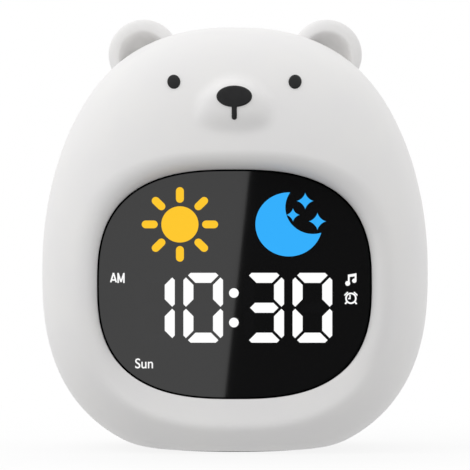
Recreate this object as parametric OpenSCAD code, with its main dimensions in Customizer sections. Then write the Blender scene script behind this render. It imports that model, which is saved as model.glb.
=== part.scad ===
// A bear-shaped bedside clock with a night light, made of two dished half shells.
// The front faces -Y, +X is to the right seen from the front, and +Z is up.
// The origin is the middle of the rest pad, on the table. Sizes are in millimetres.

/* [Body] */
// Width of the body at its widest level
body_w = 114.8; // [110:0.2:130]
// Height of the widest level above the table
waist_z = 53; // [51:0.5:60]
// Height of the crown above the widest level
crown_h = 72.9; // [70:0.1:85]
// How far the rounded outline would reach below the table if the base weren't flattened
base_sink = 2.9; // [2.5:0.1:5]
// Roundness of the outline above the widest level, where 2 is an ellipse
crown_n = 2.35; // [2.2:0.05:2.6]
// Roundness of the outline below the widest level
base_n = 2.5; // [2.4:0.05:2.8]
// Share by which the shoulders, between the waist and the ears, draw in from that outline
shoulder_trim = 0.0125; // [0:0.0025:0.02]
// Depth of the front half from the seam to its foremost point
front_depth = 48; // [46:1:56]
// Depth of the rear half from the seam, before its back is flattened
rear_depth = 44; // [43:1:52]
// How much of the rear half the flat back takes off
back_cut = 4; // [3.5:0.1:4.5]
// Roundness of the front half's depth profile
front_m = 3; // [2.8:0.1:3.3]
// Roundness of the rear half's depth profile
rear_m = 3.2; // [3:0.1:3.6]
// Wall of both shells
wall = 2.4; // [2:0.1:2.8]
// Radius with which the base turns up from the table
settle_r = 3; // [2:0.5:5]
// Points around each ring of the shells
shell_n = 64; // [48:4:72]

/* [Seam] */
// Height of the tongue that stands from the front shell's rim
tongue_h = 1.5; // [1:0.1:2.5]
// Depth of the outer surface that the tongue leaves free
tongue_in = 1.3; // [1.1:0.1:1.5]
// Gap between the tongue and its rebate, on each side
seam_clear = 0.1; // [0.05:0.05:0.2]

/* [Ears] */
// Distance of each ear's middle from the centre line
ear_x = 28.4; // [24:0.2:32]
// Radius of an ear
ear_r = 10.5; // [9:0.1:12]
// How far an ear's middle lies under the outline of the head
ear_sink = 2.2; // [1:0.1:3]
// Radius of the rounded rim of an ear
ear_rim_r = 3; // [2.5:0.1:3.8]
// Distance of an ear's middle plane behind the seam
ear_y = 5.4; // [5:0.1:7]
// Radius of the ball that dishes the front of an ear
ear_dish_r = 7.6; // [6:0.1:9]
// Depth of that dish under the rim
ear_dish_depth = 3.6; // [2:0.1:4]
// Diameter of the peg under an ear
ear_peg_d = 4; // [3:0.1:4.6]
// How far the peg reaches into the head
ear_peg_len = 6; // [4:0.5:7]

/* [Face] */
// Distance of each eye from the centre line
eye_x = 17.8; // [15:0.1:21]
// Depth of the eyes' level under the crown
eye_drop = 15.6; // [14:0.1:18]
// Diameter of an eye
eye_d = 3.9; // [3:0.1:5]
// How far an eye stands proud
eye_proud = 0.9; // [0.5:0.1:1.5]
// Diameter of an eye's peg
eye_peg_d = 2.2; // [1.6:0.1:2.6]
// Depth of the middle of the snout under the crown
snout_drop = 22.4; // [20:0.1:24]
// Width of the snout
snout_w = 22; // [19:0.2:27]
// Height of the snout along the face
snout_h = 15; // [13:0.2:18]
// How far the snout stands out of the face
snout_out = 4.4; // [3.5:0.1:6]
// Width of the nose
nose_w = 10.5; // [8:0.1:13]
// Height of the nose
nose_h = 6.3; // [5:0.1:8]
// Depth of the middle of the nose under the crown
nose_drop = 19.7; // [18.5:0.1:20.5]
// Width of the line under the nose
stem_w = 1.6; // [1:0.1:2.4]
// Length of the line under the middle of the nose
stem_len = 6.9; // [5:0.1:7.4]
// How far the nose stands proud of the snout
nose_proud = 0.6; // [0.3:0.1:1]
// How deep the nose sits in the snout
nose_seat = 0.9; // [0.6:0.1:1.3]
// Gap around each inset trim piece
trim_clear = 0.05; // [0.03:0.01:0.1]

/* [Display window] */
// Width of the window
lens_w = 80.6; // [74:0.2:83]
// Height of the window
lens_h = 67.4; // [60:0.2:69]
// Roundness of the window's outline
lens_n = 2.7; // [2.4:0.05:3]
// Depth of the window's middle under the widest level of the body
lens_drop = 2.3; // [1.5:0.1:4]
// How far the window's face lies behind the foremost point of the body
lens_setback = 13; // [12:0.1:14]
// Thickness of the window
lens_t = 2; // [1.5:0.1:2.5]
// Chamfer around the window's face
lens_chamfer = 0.4; // [0.2:0.1:0.8]
// Gap around the window
lens_clear = 0.15; // [0.1:0.05:0.3]
// Width of the rolled lip above the window
lip_top = 6; // [4.5:0.1:7]
// Width of the rolled lip beside the window
lip_side = 5.5; // [4.5:0.1:6.5]
// Width of the rolled lip under the window
lip_low = 8; // [6:0.1:9]
// Width of the ledge that the window is bonded to
ledge_w = 2.5; // [2:0.1:3]
// Thickness of the ledge
ledge_t = 2; // [1.6:0.1:2.6]
// Thickness of the adhesive ring under the window
gasket_t = 0.5; // [0.3:0.1:0.8]

/* [Display] */
// Height of a digit
digit_h = 20.7; // [18:0.1:22]
// Width of a digit
digit_w = 11.8; // [10:0.1:12.5]
// Width of a digit's segment
segment_w = 3; // [2.4:0.1:3.4]
// Gap between neighbouring segments
segment_gap = 0.5; // [0.4:0.1:0.8]
// Depth of the middle of the digits under the window's middle
digit_drop = 7; // [5:0.1:9]
// Depth of the light wells
reflector_t = 8; // [6:0.5:9]
// Thickness of the printed film over the light wells
film_t = 0.3; // [0.2:0.05:0.4]
// Gap between the light block and the window opening
display_clear = 0.9; // [0.6:0.1:1.2]
// Thickness of every circuit board
board_t = 1.6; // [1.2:0.1:2]
// Width of the display board
display_board_w = 94; // [92:0.5:95]
// Height of the display board
display_board_h = 68; // [64:0.5:69]
// Distance of the display board's screws from the centre line
display_screw_x = 42.6; // [42:0.1:43]
// Distance of the display board's screws above and below its middle
display_screw_z = 12; // [8:0.5:14]

/* [Rear panel] */
// Radius of the round control panel
panel_r = 35; // [33:0.5:35.5]
// Thickness of the control panel
panel_t = 2; // [1.6:0.1:2.4]
// Height of the panel's middle above the widest level of the body
panel_rise = 3; // [1:0.5:5]
// Width of the ledge that the panel sits on
panel_ledge = 5.5; // [5:0.1:6]
// Depth of the ring behind the panel's ledge
panel_ring_t = 6; // [5:0.5:7]
// Width of that ring past the panel's edge
panel_ring_w = 2.5; // [2:0.1:2.6]
// Distance of the panel's screws from its middle
panel_screw_r = 32; // [31.5:0.1:32.4]
// Gap round the panel
panel_clear = 0.15; // [0.1:0.05:0.3]
// Diameter of a key
key_d = 8; // [7:0.2:9]
// How far a key stands proud of the panel
key_proud = 1.2; // [0.8:0.1:1.6]
// Travel of a key
key_travel = 0.6; // [0.4:0.1:0.8]
// Radial gap round a key
key_clear = 0.1; // [0.05:0.05:0.1]
// Width of the collar that keeps a key behind the panel
key_collar = 1; // [0.8:0.1:1.4]
// Distance between neighbouring keys across the panel
key_step_x = 15; // [14:0.5:15.5]
// Height of the upper row of keys above the panel's middle
key_row_high = 19; // [18:0.5:20]
// Height of the lower row of keys above the panel's middle
key_row_low = 5; // [4:0.5:6]
// Length of the alarm slider's knob, along its travel
slider_w = 3.6; // [3:0.1:4]
// Height of the alarm slider's knob
slider_h = 2.8; // [2.4:0.1:3.2]
// Travel of the alarm slider
slider_travel = 2.5; // [2:0.1:3]
// Distance of the slider and of the charging socket from the panel's middle line
side_x = 20; // [19.5:0.1:20.5]
// Depth of the slider and of the charging socket under the panel's middle
side_drop = 10.5; // [10:0.5:12]

/* [Charging socket] */
// Width of the socket's shell
usb_w = 8.94; // [8.9:0.01:9]
// Height of the socket's shell
usb_h = 3.26; // [3.2:0.01:3.3]
// Thickness of the socket's shell
usb_wall = 0.3; // [0.25:0.05:0.35]
// How far the socket's mouth lies behind the panel's face
usb_recess = 0.8; // [0.5:0.1:1.2]
// Gap round the socket in the panel
usb_clear = 0.2; // [0.1:0.05:0.3]

/* [Speaker] */
// Diameter of the loudspeaker
speaker_d = 26; // [24:0.5:27]
// Depth of the loudspeaker's middle under the panel's middle
speaker_drop = 15; // [14.5:0.5:15.5]
// Depth of the loudspeaker's frame
speaker_t = 4; // [3.5:0.1:4.5]
// Diameter of the loudspeaker's magnet
magnet_d = 15; // [12:0.5:18]
// Height of the loudspeaker's magnet
magnet_t = 3; // [2.5:0.1:4]
// Diameter of a hole in the grille
grille_hole_d = 1.8; // [1.4:0.1:2.2]
// Distance between the rings of holes in the grille
grille_step = 3.4; // [3:0.1:3.8]

/* [Main board] */
// Gap between the panel and the main board
board_gap = 8; // [7.5:0.5:9]
// Half width of the main board
main_board_x = 25; // [24.8:0.1:25.3]
// Height of the main board's upper edge above the panel's middle
main_board_top = 25; // [24:0.5:25.5]
// Diameter of the posts that carry a board
post_d = 5; // [4.4:0.1:5]
// Diameter of a board screw's shank
board_screw_d = 2; // [1.8:0.1:2.2]
// Length of a board screw under its head
board_screw_len = 5; // [4.5:0.5:5.5]

/* [Battery] */
// Diameter of the rechargeable cell
cell_d = 18.3; // [17.5:0.1:18.6]
// Length of the rechargeable cell
cell_len = 65; // [60:1:68]
// Gap between the cell and the main board
cell_board_gap = 3.35; // [2.6:0.05:3.6]
// Gap between the cell and what holds it
cell_clear = 0.15; // [0.1:0.05:0.2]
// Height of the cell's axis above the table
cell_z = 18; // [17:0.5:19]
// Width of the clamp over the cell
clamp_w = 12; // [8:1:16]
// Thickness of the clamp
clamp_t = 1.4; // [1.2:0.1:1.6]
// Distance of the clamp's screws from the cell's axis
clamp_screw_y = 12.6; // [12.4:0.1:12.8]
// Thickness of the ribs under the cell
cradle_t = 3; // [2:0.5:4]
// Distance of the ribs under the cell from the centre line
cradle_x = 20; // [14:1:26]

/* [Night light] */
// Width of the milky diffuser
diffuser_w = 44; // [40:1:48]
// Height of the milky diffuser
diffuser_h = 21; // [19:0.5:22]
// Depth of the milky diffuser
diffuser_t = 6; // [5:0.5:7]
// Wall of the milky diffuser
diffuser_wall = 1.2; // [1:0.1:1.6]
// Distance of the night-light board behind the seam
light_y = 12; // [11:0.5:14]
// Depth of the night light's middle under the crown
light_drop = 28.5; // [28:0.5:29.5]
// Distance of the night-light board's screws from the centre line
light_screw_x = 15; // [12:0.5:16]
// Diameter of the touch plate under the crown
touch_d = 13; // [10:0.5:15]

/* [Joining] */
// Distance of the upper housing screws from the centre line
top_screw_x = 36; // [35:0.5:37]
// Depth of the upper housing screws under the crown
top_screw_drop = 34.2; // [33:0.2:36]
// Distance of the lower housing screws from the centre line
low_screw_x = 38; // [37:0.5:39]
// Height of the lower housing screws above the table
low_screw_z = 14; // [13.5:0.5:15]
// Diameter of a housing screw's shank
housing_screw_d = 2.6; // [2.2:0.1:2.8]
// Length of a housing screw under its head
housing_screw_len = 18; // [14:1:22]
// Diameter of the bosses that take the housing screws
boss_d = 7; // [6.6:0.1:7.4]
// Radial gap round every screw shank
screw_clear = 0.04; // [0.02:0.01:0.08]

/* [Rest pad] */
// Diameter of the rest pad
pad_d = 44; // [30:1:46]
// Thickness of the rest pad
pad_t = 1.6; // [1.2:0.1:1.8]
// How far the rest pad stands out of the base
pad_proud = 0.6; // [0.4:0.1:0.8]
// Gap round the rest pad
pad_clear = 0.2; // [0.1:0.05:0.3]

/* [Hidden] */
$fn = 48;
shell_white = "#f2f0ec";
trim_black = "#26262a";
board_green = "#2f6b4a";
screw_grey = "#9aa0a6";

// A bit past a face, where one solid cuts another
over = 1;
half_w = body_w / 2;
base_h = waist_z + base_sink;
crown_z = waist_z + crown_h;
floor_z = pad_proud;
back_y = rear_depth - back_cut;

lens_z = waist_z - lens_drop;
lens_y = lens_setback - front_depth;
pocket_y = lens_y + lens_t + gasket_t;
ledge_back_y = pocket_y + ledge_t;
block_w = lens_w - 2 * (ledge_w + display_clear - lens_clear);
block_h = lens_h - 2 * (ledge_w + display_clear - lens_clear);
film_y = lens_y + lens_t;
block_y = film_y + film_t;
display_board_y = block_y + reflector_t;

panel_z = waist_z + panel_rise;
panel_y = back_y - panel_t;
panel_hole_r = panel_r - panel_ledge;
main_board_y = panel_y - board_gap;
cell_y = main_board_y - cell_board_gap - cell_d / 2;
key_columns = [-1, 0, 1];
side_z = panel_z - side_drop;
speaker_z = panel_z - speaker_drop;
light_z = crown_z - light_drop;
floor_in = floor_z + wall;

// ---- Curves -------------------------------------------------------------------------------

function spow(v, e) = sign(v) * pow(abs(v), e);
function unit(v) = v / norm(v);

// The base turns up from the table: heights near the floor settle on it
function settle(z, inset) =
    let (low = floor_z + inset, rise = z - low)
    rise >= settle_r ? z : rise <= -settle_r ? low : low + pow(rise + settle_r, 2) / (4 * settle_r);

// How much the shoulders draw in, at a direction given as shares of the half width and crown height
function shoulder(u, v) =
    let (turn = atan2(v, abs(u)))
    1 + (v > 0 && turn < 60 ? shoulder_trim * pow(sin(3 * turn), 2) : 0);

// Outline of the body at the seam, at parameter angle a, drawn in by inset
function outline_xz(a, inset) =
    let (
        up = sin(a) >= 0,
        n = up ? crown_n : base_n,
        h = (up ? crown_h : base_h) - inset,
        u = spow(cos(a), 2 / n),
        v = spow(sin(a), 2 / n),
        drawn = shoulder(u, v)
    )
    [(half_w - inset) * u / drawn, waist_z + h * v / drawn];

// 1 on the outline and 0 at the body's middle
function gauge(x, z, inset) =
    let (
        up = z >= waist_z,
        n = up ? crown_n : base_n,
        h = (up ? crown_h : base_h) - inset,
        u = abs(x) / (half_w - inset),
        v = (z - waist_z) / h
    )
    pow(pow(u, n) + pow(abs(v), n), 1 / n) * shoulder(u, v);

// Depth of the front and rear skins over a point of the outline plane
function front_skin(x, z, inset) =
    -(front_depth - inset) * pow(max(0, 1 - pow(gauge(x, z, inset), front_m)), 1 / front_m);
function rear_skin(x, z, inset) =
    (rear_depth - inset) * pow(max(0, 1 - pow(gauge(x, z, inset), rear_m)), 1 / rear_m);

// Unit normal of the front skin
function front_normal(x, z) =
    let (
        e = 0.05,
        slope_x = (front_skin(x + e, z, 0) - front_skin(x - e, z, 0)) / (2 * e),
        slope_z = (front_skin(x, z + e, 0) - front_skin(x, z - e, 0)) / (2 * e)
    )
    unit([slope_x, -1, slope_z]);

function angles(n) = [for (i = [0 : n - 1]) 360 * i / n];
function super_xz(w, h, n, z, a) = [w / 2 * spow(cos(a), 2 / n), z + h / 2 * spow(sin(a), 2 / n)];
function lens_xz(a, grow) = super_xz(lens_w + 2 * grow, lens_h + 2 * grow, lens_n, lens_z, a);
function mix(p, q, t) = p * (1 - t) + q * t;
function lip_w(a) = lip_side + ((sin(a) > 0 ? lip_top : lip_low) - lip_side) * pow(sin(a), 2);

// One ring of a shell from its points over the outline plane, at depth y
function ring(points, y, inset) = [for (p = points) [p[0], y, settle(p[1], inset)]];

// ---- Solids from rings --------------------------------------------------------------------

// A closed solid through rings of equal length, the first at the bottom or back
module ring_solid(rings) {
    n = len(rings[0]);
    last = len(rings) - 1;
    function at(r, i) = r * n + i % n;
    points = [for (r = rings) each r];
    sides = [for (r = [0 : last - 1], i = [0 : n - 1]) each [
        [at(r, i), at(r + 1, i), at(r + 1, i + 1)],
        [at(r, i), at(r + 1, i + 1), at(r, i + 1)]
    ]];
    bottom = [for (i = [1 : n - 2]) [at(0, 0), at(0, i), at(0, i + 1)]];
    top = [for (i = [1 : n - 2]) [at(last, 0), at(last, i + 1), at(last, i)]];
    polyhedron(points = points, faces = concat(bottom, sides, top), convexity = 6);
}

// A flat shape drawn in X and Z, from depth y0 to depth y1
module slab(y0, y1) {
    translate([0, y1, 0]) rotate([90, 0, 0]) linear_extrude(y1 - y0) children();
}

module outline_2d(inset) {
    polygon([for (a = angles(shell_n)) let (p = outline_xz(a, inset)) [p[0], settle(p[1], inset)]]);
}

module lens_2d(grow) {
    polygon([for (a = angles(shell_n)) lens_xz(a, grow)]);
}

module super_2d(w, h, n, z, x = 0) {
    polygon([for (a = angles(40)) super_xz(w, h, n, z, a) + [x, 0]]);
}

// A cylinder along Y from y0 to y1
module rod_y(x, z, d, y0, y1) {
    translate([x, y1, z]) rotate([90, 0, 0]) cylinder(d = d, h = y1 - y0);
}

// A box by its middle in X and Z and its two depths
module block_y(x, z, w, h, y0, y1) {
    translate([x - w / 2, y0, z - h / 2]) cube([w, y1 - y0, h]);
}

// A screw along Y with its head's seat at y and its shank toward dir
module screw_y(x, z, d, len, y, dir) {
    head_d = 1.9 * d;
    head_t = 0.6 * d;
    translate([x, y, z]) rotate([dir > 0 ? -90 : 90, 0, 0]) {
        cylinder(d = d, h = len);
        translate([0, 0, -head_t]) difference() {
            cylinder(d = head_d, h = head_t);
            translate([-0.6 * d, -0.1 * d, -over]) cube([1.2 * d, 0.2 * d, over + head_t / 2]);
            translate([-0.1 * d, -0.6 * d, -over]) cube([0.2 * d, 1.2 * d, over + head_t / 2]);
        }
    }
}

// ---- Shells -------------------------------------------------------------------------------

// Rings of the front half's skin, from the seam over the rolled lip to the window's edge
function front_rings(inset, seat) =
    let (
        skin_steps = inset == 0 ? 9 : 6,
        roll_steps = inset == 0 ? 5 : 3,
        edge = lens_clear + inset
    )
    concat(
        [for (k = [0 : skin_steps]) [for (a = angles(shell_n))
            let (
                far = outline_xz(a, inset),
                near = lens_xz(a, edge + lip_w(a)),
                near_gauge = gauge(near[0], near[1], inset),
                sweep = acos(pow(near_gauge, front_m / 2)) * k / skin_steps,
                here = pow(cos(sweep), 2 / front_m),
                p = mix(far, near, (1 - here) / (1 - near_gauge)),
                y = k == 0 ? 0 : front_skin(p[0], p[1], inset)
            )
            [p[0], y, settle(p[1], inset)]]],
        [for (k = [1 : roll_steps]) [for (a = angles(shell_n))
            let (
                turn = 90 * (1 - k / roll_steps),
                p = mix(lens_xz(a, edge), lens_xz(a, edge + lip_w(a)), 1 - cos(turn)),
                skin = front_skin(p[0], p[1], inset)
            )
            [p[0], seat + (skin - seat) * sin(turn), settle(p[1], inset)]]]
    );

// The front half as a solid, with the pocket that the window lies in
module front_outer() {
    pocket = ring([for (a = angles(shell_n)) lens_xz(a, lens_clear)], pocket_y, 0);
    ring_solid(concat(front_rings(0, lens_y), [pocket]));
}

// The space inside the front half, which runs out past the tongue
module front_cavity() {
    mouth = ring([for (a = angles(shell_n)) outline_xz(a, wall)], tongue_h + over, wall);
    ring_solid(concat([mouth], front_rings(wall, ledge_back_y)));
}

// Rings of the rear half's skin, from the flat back to the seam
function rear_rings(inset) =
    let (
        steps = inset == 0 ? 8 : 6,
        depth = rear_depth - inset,
        flat_gauge = pow(1 - pow((back_y - inset) / depth, rear_m), 1 / rear_m),
        sweep = acos(pow(flat_gauge, rear_m / 2))
    )
    [for (k = [steps : -1 : 0])
        let (
            here = pow(cos(sweep * k / steps), 2 / rear_m),
            y = depth * pow(sin(sweep * k / steps), 2 / rear_m)
        )
        [for (a = angles(shell_n))
            let (p = outline_xz(a, inset))
            [p[0] * here, y, settle(waist_z + (p[1] - waist_z) * here, inset)]]];

module rear_outer() {
    ring_solid(rear_rings(0));
}

module rear_cavity() {
    mouth = ring([for (a = angles(shell_n)) outline_xz(a, wall)], -over, wall);
    ring_solid(concat(rear_rings(wall), [mouth]));
}

// ---- Face ---------------------------------------------------------------------------------

snout_z = crown_z - snout_drop;
snout_normal = front_normal(0, snout_z);
snout_tilt = atan2(snout_normal[2], -snout_normal[1]);
nose_z = crown_z - nose_drop;
nose_front_y = front_skin(0, nose_z, 0) - snout_out;
nose_back_y = nose_front_y + snout_out;
nose_peg_d = 2.4;
eye_z = crown_z - eye_drop;
eye_seat = 0.4;
eye_peg_len = wall + 1.2;

module at_snout() {
    translate([0, front_skin(0, snout_z, 0), snout_z]) rotate([90 - snout_tilt, 0, 0]) children();
}

// The snout as a low dome on a straight root, grown or shrunk evenly
module snout_dome(grow, root) {
    steps = 7;
    half = [snout_w / 2 + grow, snout_h / 2 + grow, snout_out + grow];
    function dome_ring(size, z) =
        [for (a = angles(36)) [half[0] * size * cos(a), half[1] * size * sin(a), z]];
    ring_solid(concat(
        [dome_ring(1, -root)],
        [for (k = [0 : steps]) let (t = 84 * k / steps) dome_ring(cos(t), half[2] * sin(t))]
    ));
}

module nose_2d(grow) {
    super_2d(nose_w + 2 * grow, nose_h + 2 * grow, 2.2, nose_z);
    translate([-stem_w / 2 - grow, nose_z - stem_len + stem_w / 2])
        square([stem_w + 2 * grow, stem_len - stem_w / 2]);
    translate([0, nose_z - stem_len + stem_w / 2]) circle(d = stem_w + 2 * grow);
}

module nose_peg(grow, len) {
    rod_y(0, nose_z, nose_peg_d + 2 * grow, nose_front_y + nose_seat, nose_front_y + len);
}

module nose() {
    color(trim_black) {
        difference() {
            intersection() {
                slab(nose_front_y - snout_out, nose_back_y) nose_2d(0);
                at_snout() snout_dome(nose_proud, wall / 2);
            }
            at_snout() snout_dome(-nose_seat, 2 * wall);
        }
        nose_peg(0, snout_out);
    }
}

// Places an eye's own axis along the normal of the face
module at_eye(side) {
    n = front_normal(eye_x, eye_z);
    translate([side * eye_x, front_skin(eye_x, eye_z, 0), eye_z])
        rotate([0, acos(n[2]), atan2(n[1], side * n[0])]) children();
}

module eye(side) {
    cap_r = (pow(eye_d / 2, 2) + pow(eye_proud, 2)) / (2 * eye_proud);
    color(trim_black) at_eye(side) {
        rotate_extrude() intersection() {
            translate([0, eye_proud - cap_r]) circle(r = cap_r, $fn = 96);
            square([eye_d / 2, eye_proud]);
        }
        translate([0, 0, -eye_seat]) cylinder(d = eye_d, h = eye_seat);
        translate([0, 0, -eye_peg_len]) cylinder(d = eye_peg_d, h = eye_peg_len);
    }
}

module eye_bores(side) {
    at_eye(side) {
        translate([0, 0, -eye_seat]) cylinder(d = eye_d + 2 * trim_clear, h = eye_seat + over);
        translate([0, 0, -eye_peg_len - over])
            cylinder(d = eye_peg_d + 2 * trim_clear, h = eye_peg_len + over);
    }
}

module left_eye() { eye(-1); }
module right_eye() { eye(1); }

// ---- Ears ---------------------------------------------------------------------------------

// The outline over ear_x, and the direction square to it there
ear_top_z = waist_z + crown_h * pow(1 - pow(ear_x / half_w, crown_n), 1 / crown_n);
ear_out = unit([
    pow(ear_x / half_w, crown_n - 1) / half_w,
    pow((ear_top_z - waist_z) / crown_h, crown_n - 1) / crown_h
]);
ear_tilt = atan2(ear_out[0], ear_out[1]);
ear_mid = [ear_x - ear_sink * ear_out[0], ear_top_z - ear_sink * ear_out[1]];
ear_seat_gap = 0.1;

// Places a child whose +Z points out of the head at an ear's middle
module at_ear(side) {
    translate([side * ear_mid[0], ear_y, ear_mid[1]]) rotate([0, side * ear_tilt, 0]) children();
}

module ear_disc() {
    rotate([90, 0, 0]) rotate_extrude($fn = 96) difference() {
        union() {
            translate([ear_r - ear_rim_r, 0]) circle(r = ear_rim_r);
            translate([0, -ear_rim_r]) square([ear_r - ear_rim_r, 2 * ear_rim_r - 0.8]);
        }
        translate([0, ear_rim_r + ear_dish_r - ear_dish_depth]) circle(r = ear_dish_r);
        translate([-ear_r, -ear_r]) square([ear_r, 2 * ear_r]);
    }
}

module ear(side) {
    color(shell_white) {
        difference() {
            translate([side * ear_mid[0], ear_y, ear_mid[1]]) ear_disc();
            slab(-2 * ear_r, 3 * ear_r) outline_2d(-ear_seat_gap);
        }
        at_ear(side) translate([0, 0, ear_sink - ear_peg_len])
            cylinder(d = ear_peg_d, h = ear_peg_len + over);
    }
}

module left_ear() { ear(-1); }
module right_ear() { ear(1); }

// ---- Joining ------------------------------------------------------------------------------

housing_screws_xz = [for (s = [-1, 1]) each [
    [s * top_screw_x, crown_z - top_screw_drop], [s * low_screw_x, low_screw_z]
]];
display_screws_xz = [for (s = [-1, 1], t = [-1, 1])
    [s * display_screw_x, lens_z + t * display_screw_z]];
panel_screws_xz = [for (a = [45 : 90 : 315])
    [panel_screw_r * cos(a), panel_z + panel_screw_r * sin(a)]];
board_posts_xz = [for (s = [-1, 1]) each [
    [s * key_step_x / 2, panel_z + (key_row_high + key_row_low) / 2],
    [s * side_x, panel_z - side_drop + 8]
]];
light_screws_xz = [for (s = [-1, 1]) [s * light_screw_x, light_z]];
screw_seat_y = 8;
pilot_over = 0.5;
clamp_foot_z = cell_z - 6.5;
clamp_screws_y = [cell_y - clamp_screw_y, cell_y + clamp_screw_y];

// Bores for screws along Y: their shanks start at depth y and run toward dir
module shank_bores(places, d, len, y, dir) {
    for (p = places) {
        rod_y(p[0], p[1], d + 2 * screw_clear, dir > 0 ? y - over : y - len - pilot_over,
            dir > 0 ? y + len + pilot_over : y + over);
    }
}

module screw_set(places, d, len, y, dir) {
    color(screw_grey) for (p = places) screw_y(p[0], p[1], d, len, y, dir);
}

// ---- The two shells -----------------------------------------------------------------------

module front_inner_parts() {
    for (p = housing_screws_xz) rod_y(p[0], p[1], boss_d, -front_depth, 0);
    for (p = display_screws_xz) rod_y(p[0], p[1], post_d, -front_depth, display_board_y);
}

module front_shell() {
    color(shell_white) difference() {
        union() {
            front_outer();
            at_snout() snout_dome(0, wall / 2);
            slab(-over, tongue_h) outline_2d(tongue_in);
        }
        difference() {
            front_cavity();
            front_inner_parts();
        }
        at_snout() snout_dome(-wall, 2 * wall);
        slab(pocket_y - over, ledge_back_y + over) lens_2d(-ledge_w);
        difference() {
            slab(nose_front_y - snout_out, nose_back_y + trim_clear) nose_2d(trim_clear);
            at_snout() snout_dome(-nose_seat - trim_clear, 2 * wall);
        }
        nose_peg(trim_clear, 3 * wall);
        eye_bores(-1);
        eye_bores(1);
        shank_bores(housing_screws_xz, housing_screw_d, housing_screw_len - screw_seat_y, 0, -1);
        shank_bores(display_screws_xz, board_screw_d, board_screw_len, display_board_y, -1);
        rest_recess();
    }
}

module cell_saddles() {
    difference() {
        for (s = [-1, 1]) translate([s * cradle_x - cradle_t / 2, cell_y - cell_d / 2 - 2, 0])
            cube([cradle_t, cell_d + 4, cell_z - 3]);
        translate([-half_w, cell_y, cell_z]) rotate([0, 90, 0])
            cylinder(d = cell_d + 2 * cell_clear, h = 2 * half_w);
    }
}

module rear_inner_parts() {
    for (p = housing_screws_xz) rod_y(p[0], p[1], boss_d, -2 * over, rear_depth);
    for (p = light_screws_xz) rod_y(p[0], p[1], post_d, light_y + board_t, rear_depth);
    rod_y(0, panel_z, 2 * (panel_r + panel_ring_w), panel_y - panel_ring_t, rear_depth);
    cell_saddles();
    for (y = clamp_screws_y) translate([0, y, 0]) cylinder(d = post_d, h = clamp_foot_z);
    for (s = [-1, 1]) at_ear(s) translate([0, 0, ear_sink - ear_peg_len - wall])
        cylinder(d = ear_peg_d + 2 * wall, h = ear_peg_len);
}

module rear_shell() {
    color(shell_white) difference() {
        rear_outer();
        difference() {
            rear_cavity();
            rear_inner_parts();
        }
        slab(-over, tongue_h + seam_clear) difference() {
            outline_2d(tongue_in - seam_clear);
            outline_2d(wall + 2 * seam_clear);
        }
        rod_y(0, panel_z, 2 * (panel_r + panel_clear), panel_y, back_y + over);
        rod_y(0, panel_z, 2 * panel_hole_r, panel_y - panel_ring_t - over, panel_y + over);
        shank_bores(panel_screws_xz, board_screw_d, board_screw_len - panel_t, panel_y, -1);
        for (p = housing_screws_xz) {
            rod_y(p[0], p[1], boss_d - 1.8, screw_seat_y, rear_depth);
            rod_y(p[0], p[1], housing_screw_d + 2 * screw_clear, -over, screw_seat_y + over);
        }
        shank_bores(light_screws_xz, board_screw_d, board_screw_len - board_t, light_y + board_t, 1);
        for (y = clamp_screws_y) translate([0, y, clamp_foot_z - board_screw_len])
            cylinder(d = board_screw_d + 2 * screw_clear, h = board_screw_len + over);
        for (s = [-1, 1]) at_ear(s) translate([0, 0, ear_sink - ear_peg_len - pilot_over])
            cylinder(d = ear_peg_d + 2 * trim_clear, h = 2 * ear_peg_len);
        rest_recess();
    }
}

module housing_screws() {
    screw_set(housing_screws_xz, housing_screw_d, housing_screw_len, screw_seat_y, -1);
}

module rest_recess() {
    translate([0, 0, -over]) cylinder(d = pad_d + 2 * pad_clear, h = pad_t + over, $fn = 96);
}

module rest_pad() {
    color("#3a3a3c") cylinder(d = pad_d, h = pad_t, $fn = 96);
}

// ---- Window and display -------------------------------------------------------------------

digit_x = [-23.3, -9.2, 8.8, 23.1];
digit_z = lens_z - digit_drop;
colon_x = -0.18;
colon_step = 4.35;
colon_d = 3;
sign_z = lens_z + 17.5;
sun_x = -16;
sun_r = 5.5;
ray_from = 6.4;
ray_to = 11;
ray_w = 2.4;
moon_x = 15.6;
moon_r = 9.6;
moon_bite = [7, 4.9];
moon_bite_r = 7.8;
// Each star's place from the moon's middle, and its reach
stars = [[5.3, 6.9, 2.5], [1.7, 2.8, 2], [8.8, 0.9, 2.5]];
// Small indicators: place from the window's middle, width, height
indicators = [
    [-34.4, 1.8, 4.3, 3.1], [-26, -22.9, 4.1, 2.2], [34.2, 1.4, 3.6, 3.9], [34.3, -4.1, 4.1, 3.8]
];

// One segment of a digit: an end bar, a middle bar or a side bar
module end_bar(top) {
    h = digit_h / 2;
    w = digit_w / 2 - segment_gap / 2;
    s = segment_w;
    mirror([0, top ? 0 : 1]) polygon([[-w, h], [w, h], [w - s, h - s], [s - w, h - s]]);
}

module middle_bar() {
    s = segment_w / 2;
    w = digit_w / 2 - s - segment_gap;
    polygon([[-w, 0], [s - w, s], [w - s, s], [w, 0], [w - s, -s], [s - w, -s]]);
}

module side_bar(side, top) {
    w = digit_w / 2;
    h = digit_h / 2 - segment_gap / 2;
    s = segment_w;
    g = segment_gap / 2;
    mirror([side > 0 ? 0 : 1, 0]) mirror([0, top ? 0 : 1])
        polygon([[w, h], [w - s, h - s], [w - s, s / 2 + 2 * g], [w - s / 2, g], [w, g]]);
}

module digit_2d() {
    end_bar(true);
    end_bar(false);
    middle_bar();
    for (s = [-1, 1], t = [true, false]) side_bar(s, t);
}

module star_2d(reach) {
    waist = 0.38 * reach;
    polygon([for (k = [0 : 7]) (k % 2 == 0 ? reach : waist) * [cos(45 * k), sin(45 * k)]]);
}

module sun_2d() {
    circle(r = sun_r);
    for (k = [0 : 7]) rotate(45 * k)
        translate([ray_from, -ray_w / 2]) square([ray_to - ray_from, ray_w]);
}

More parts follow.
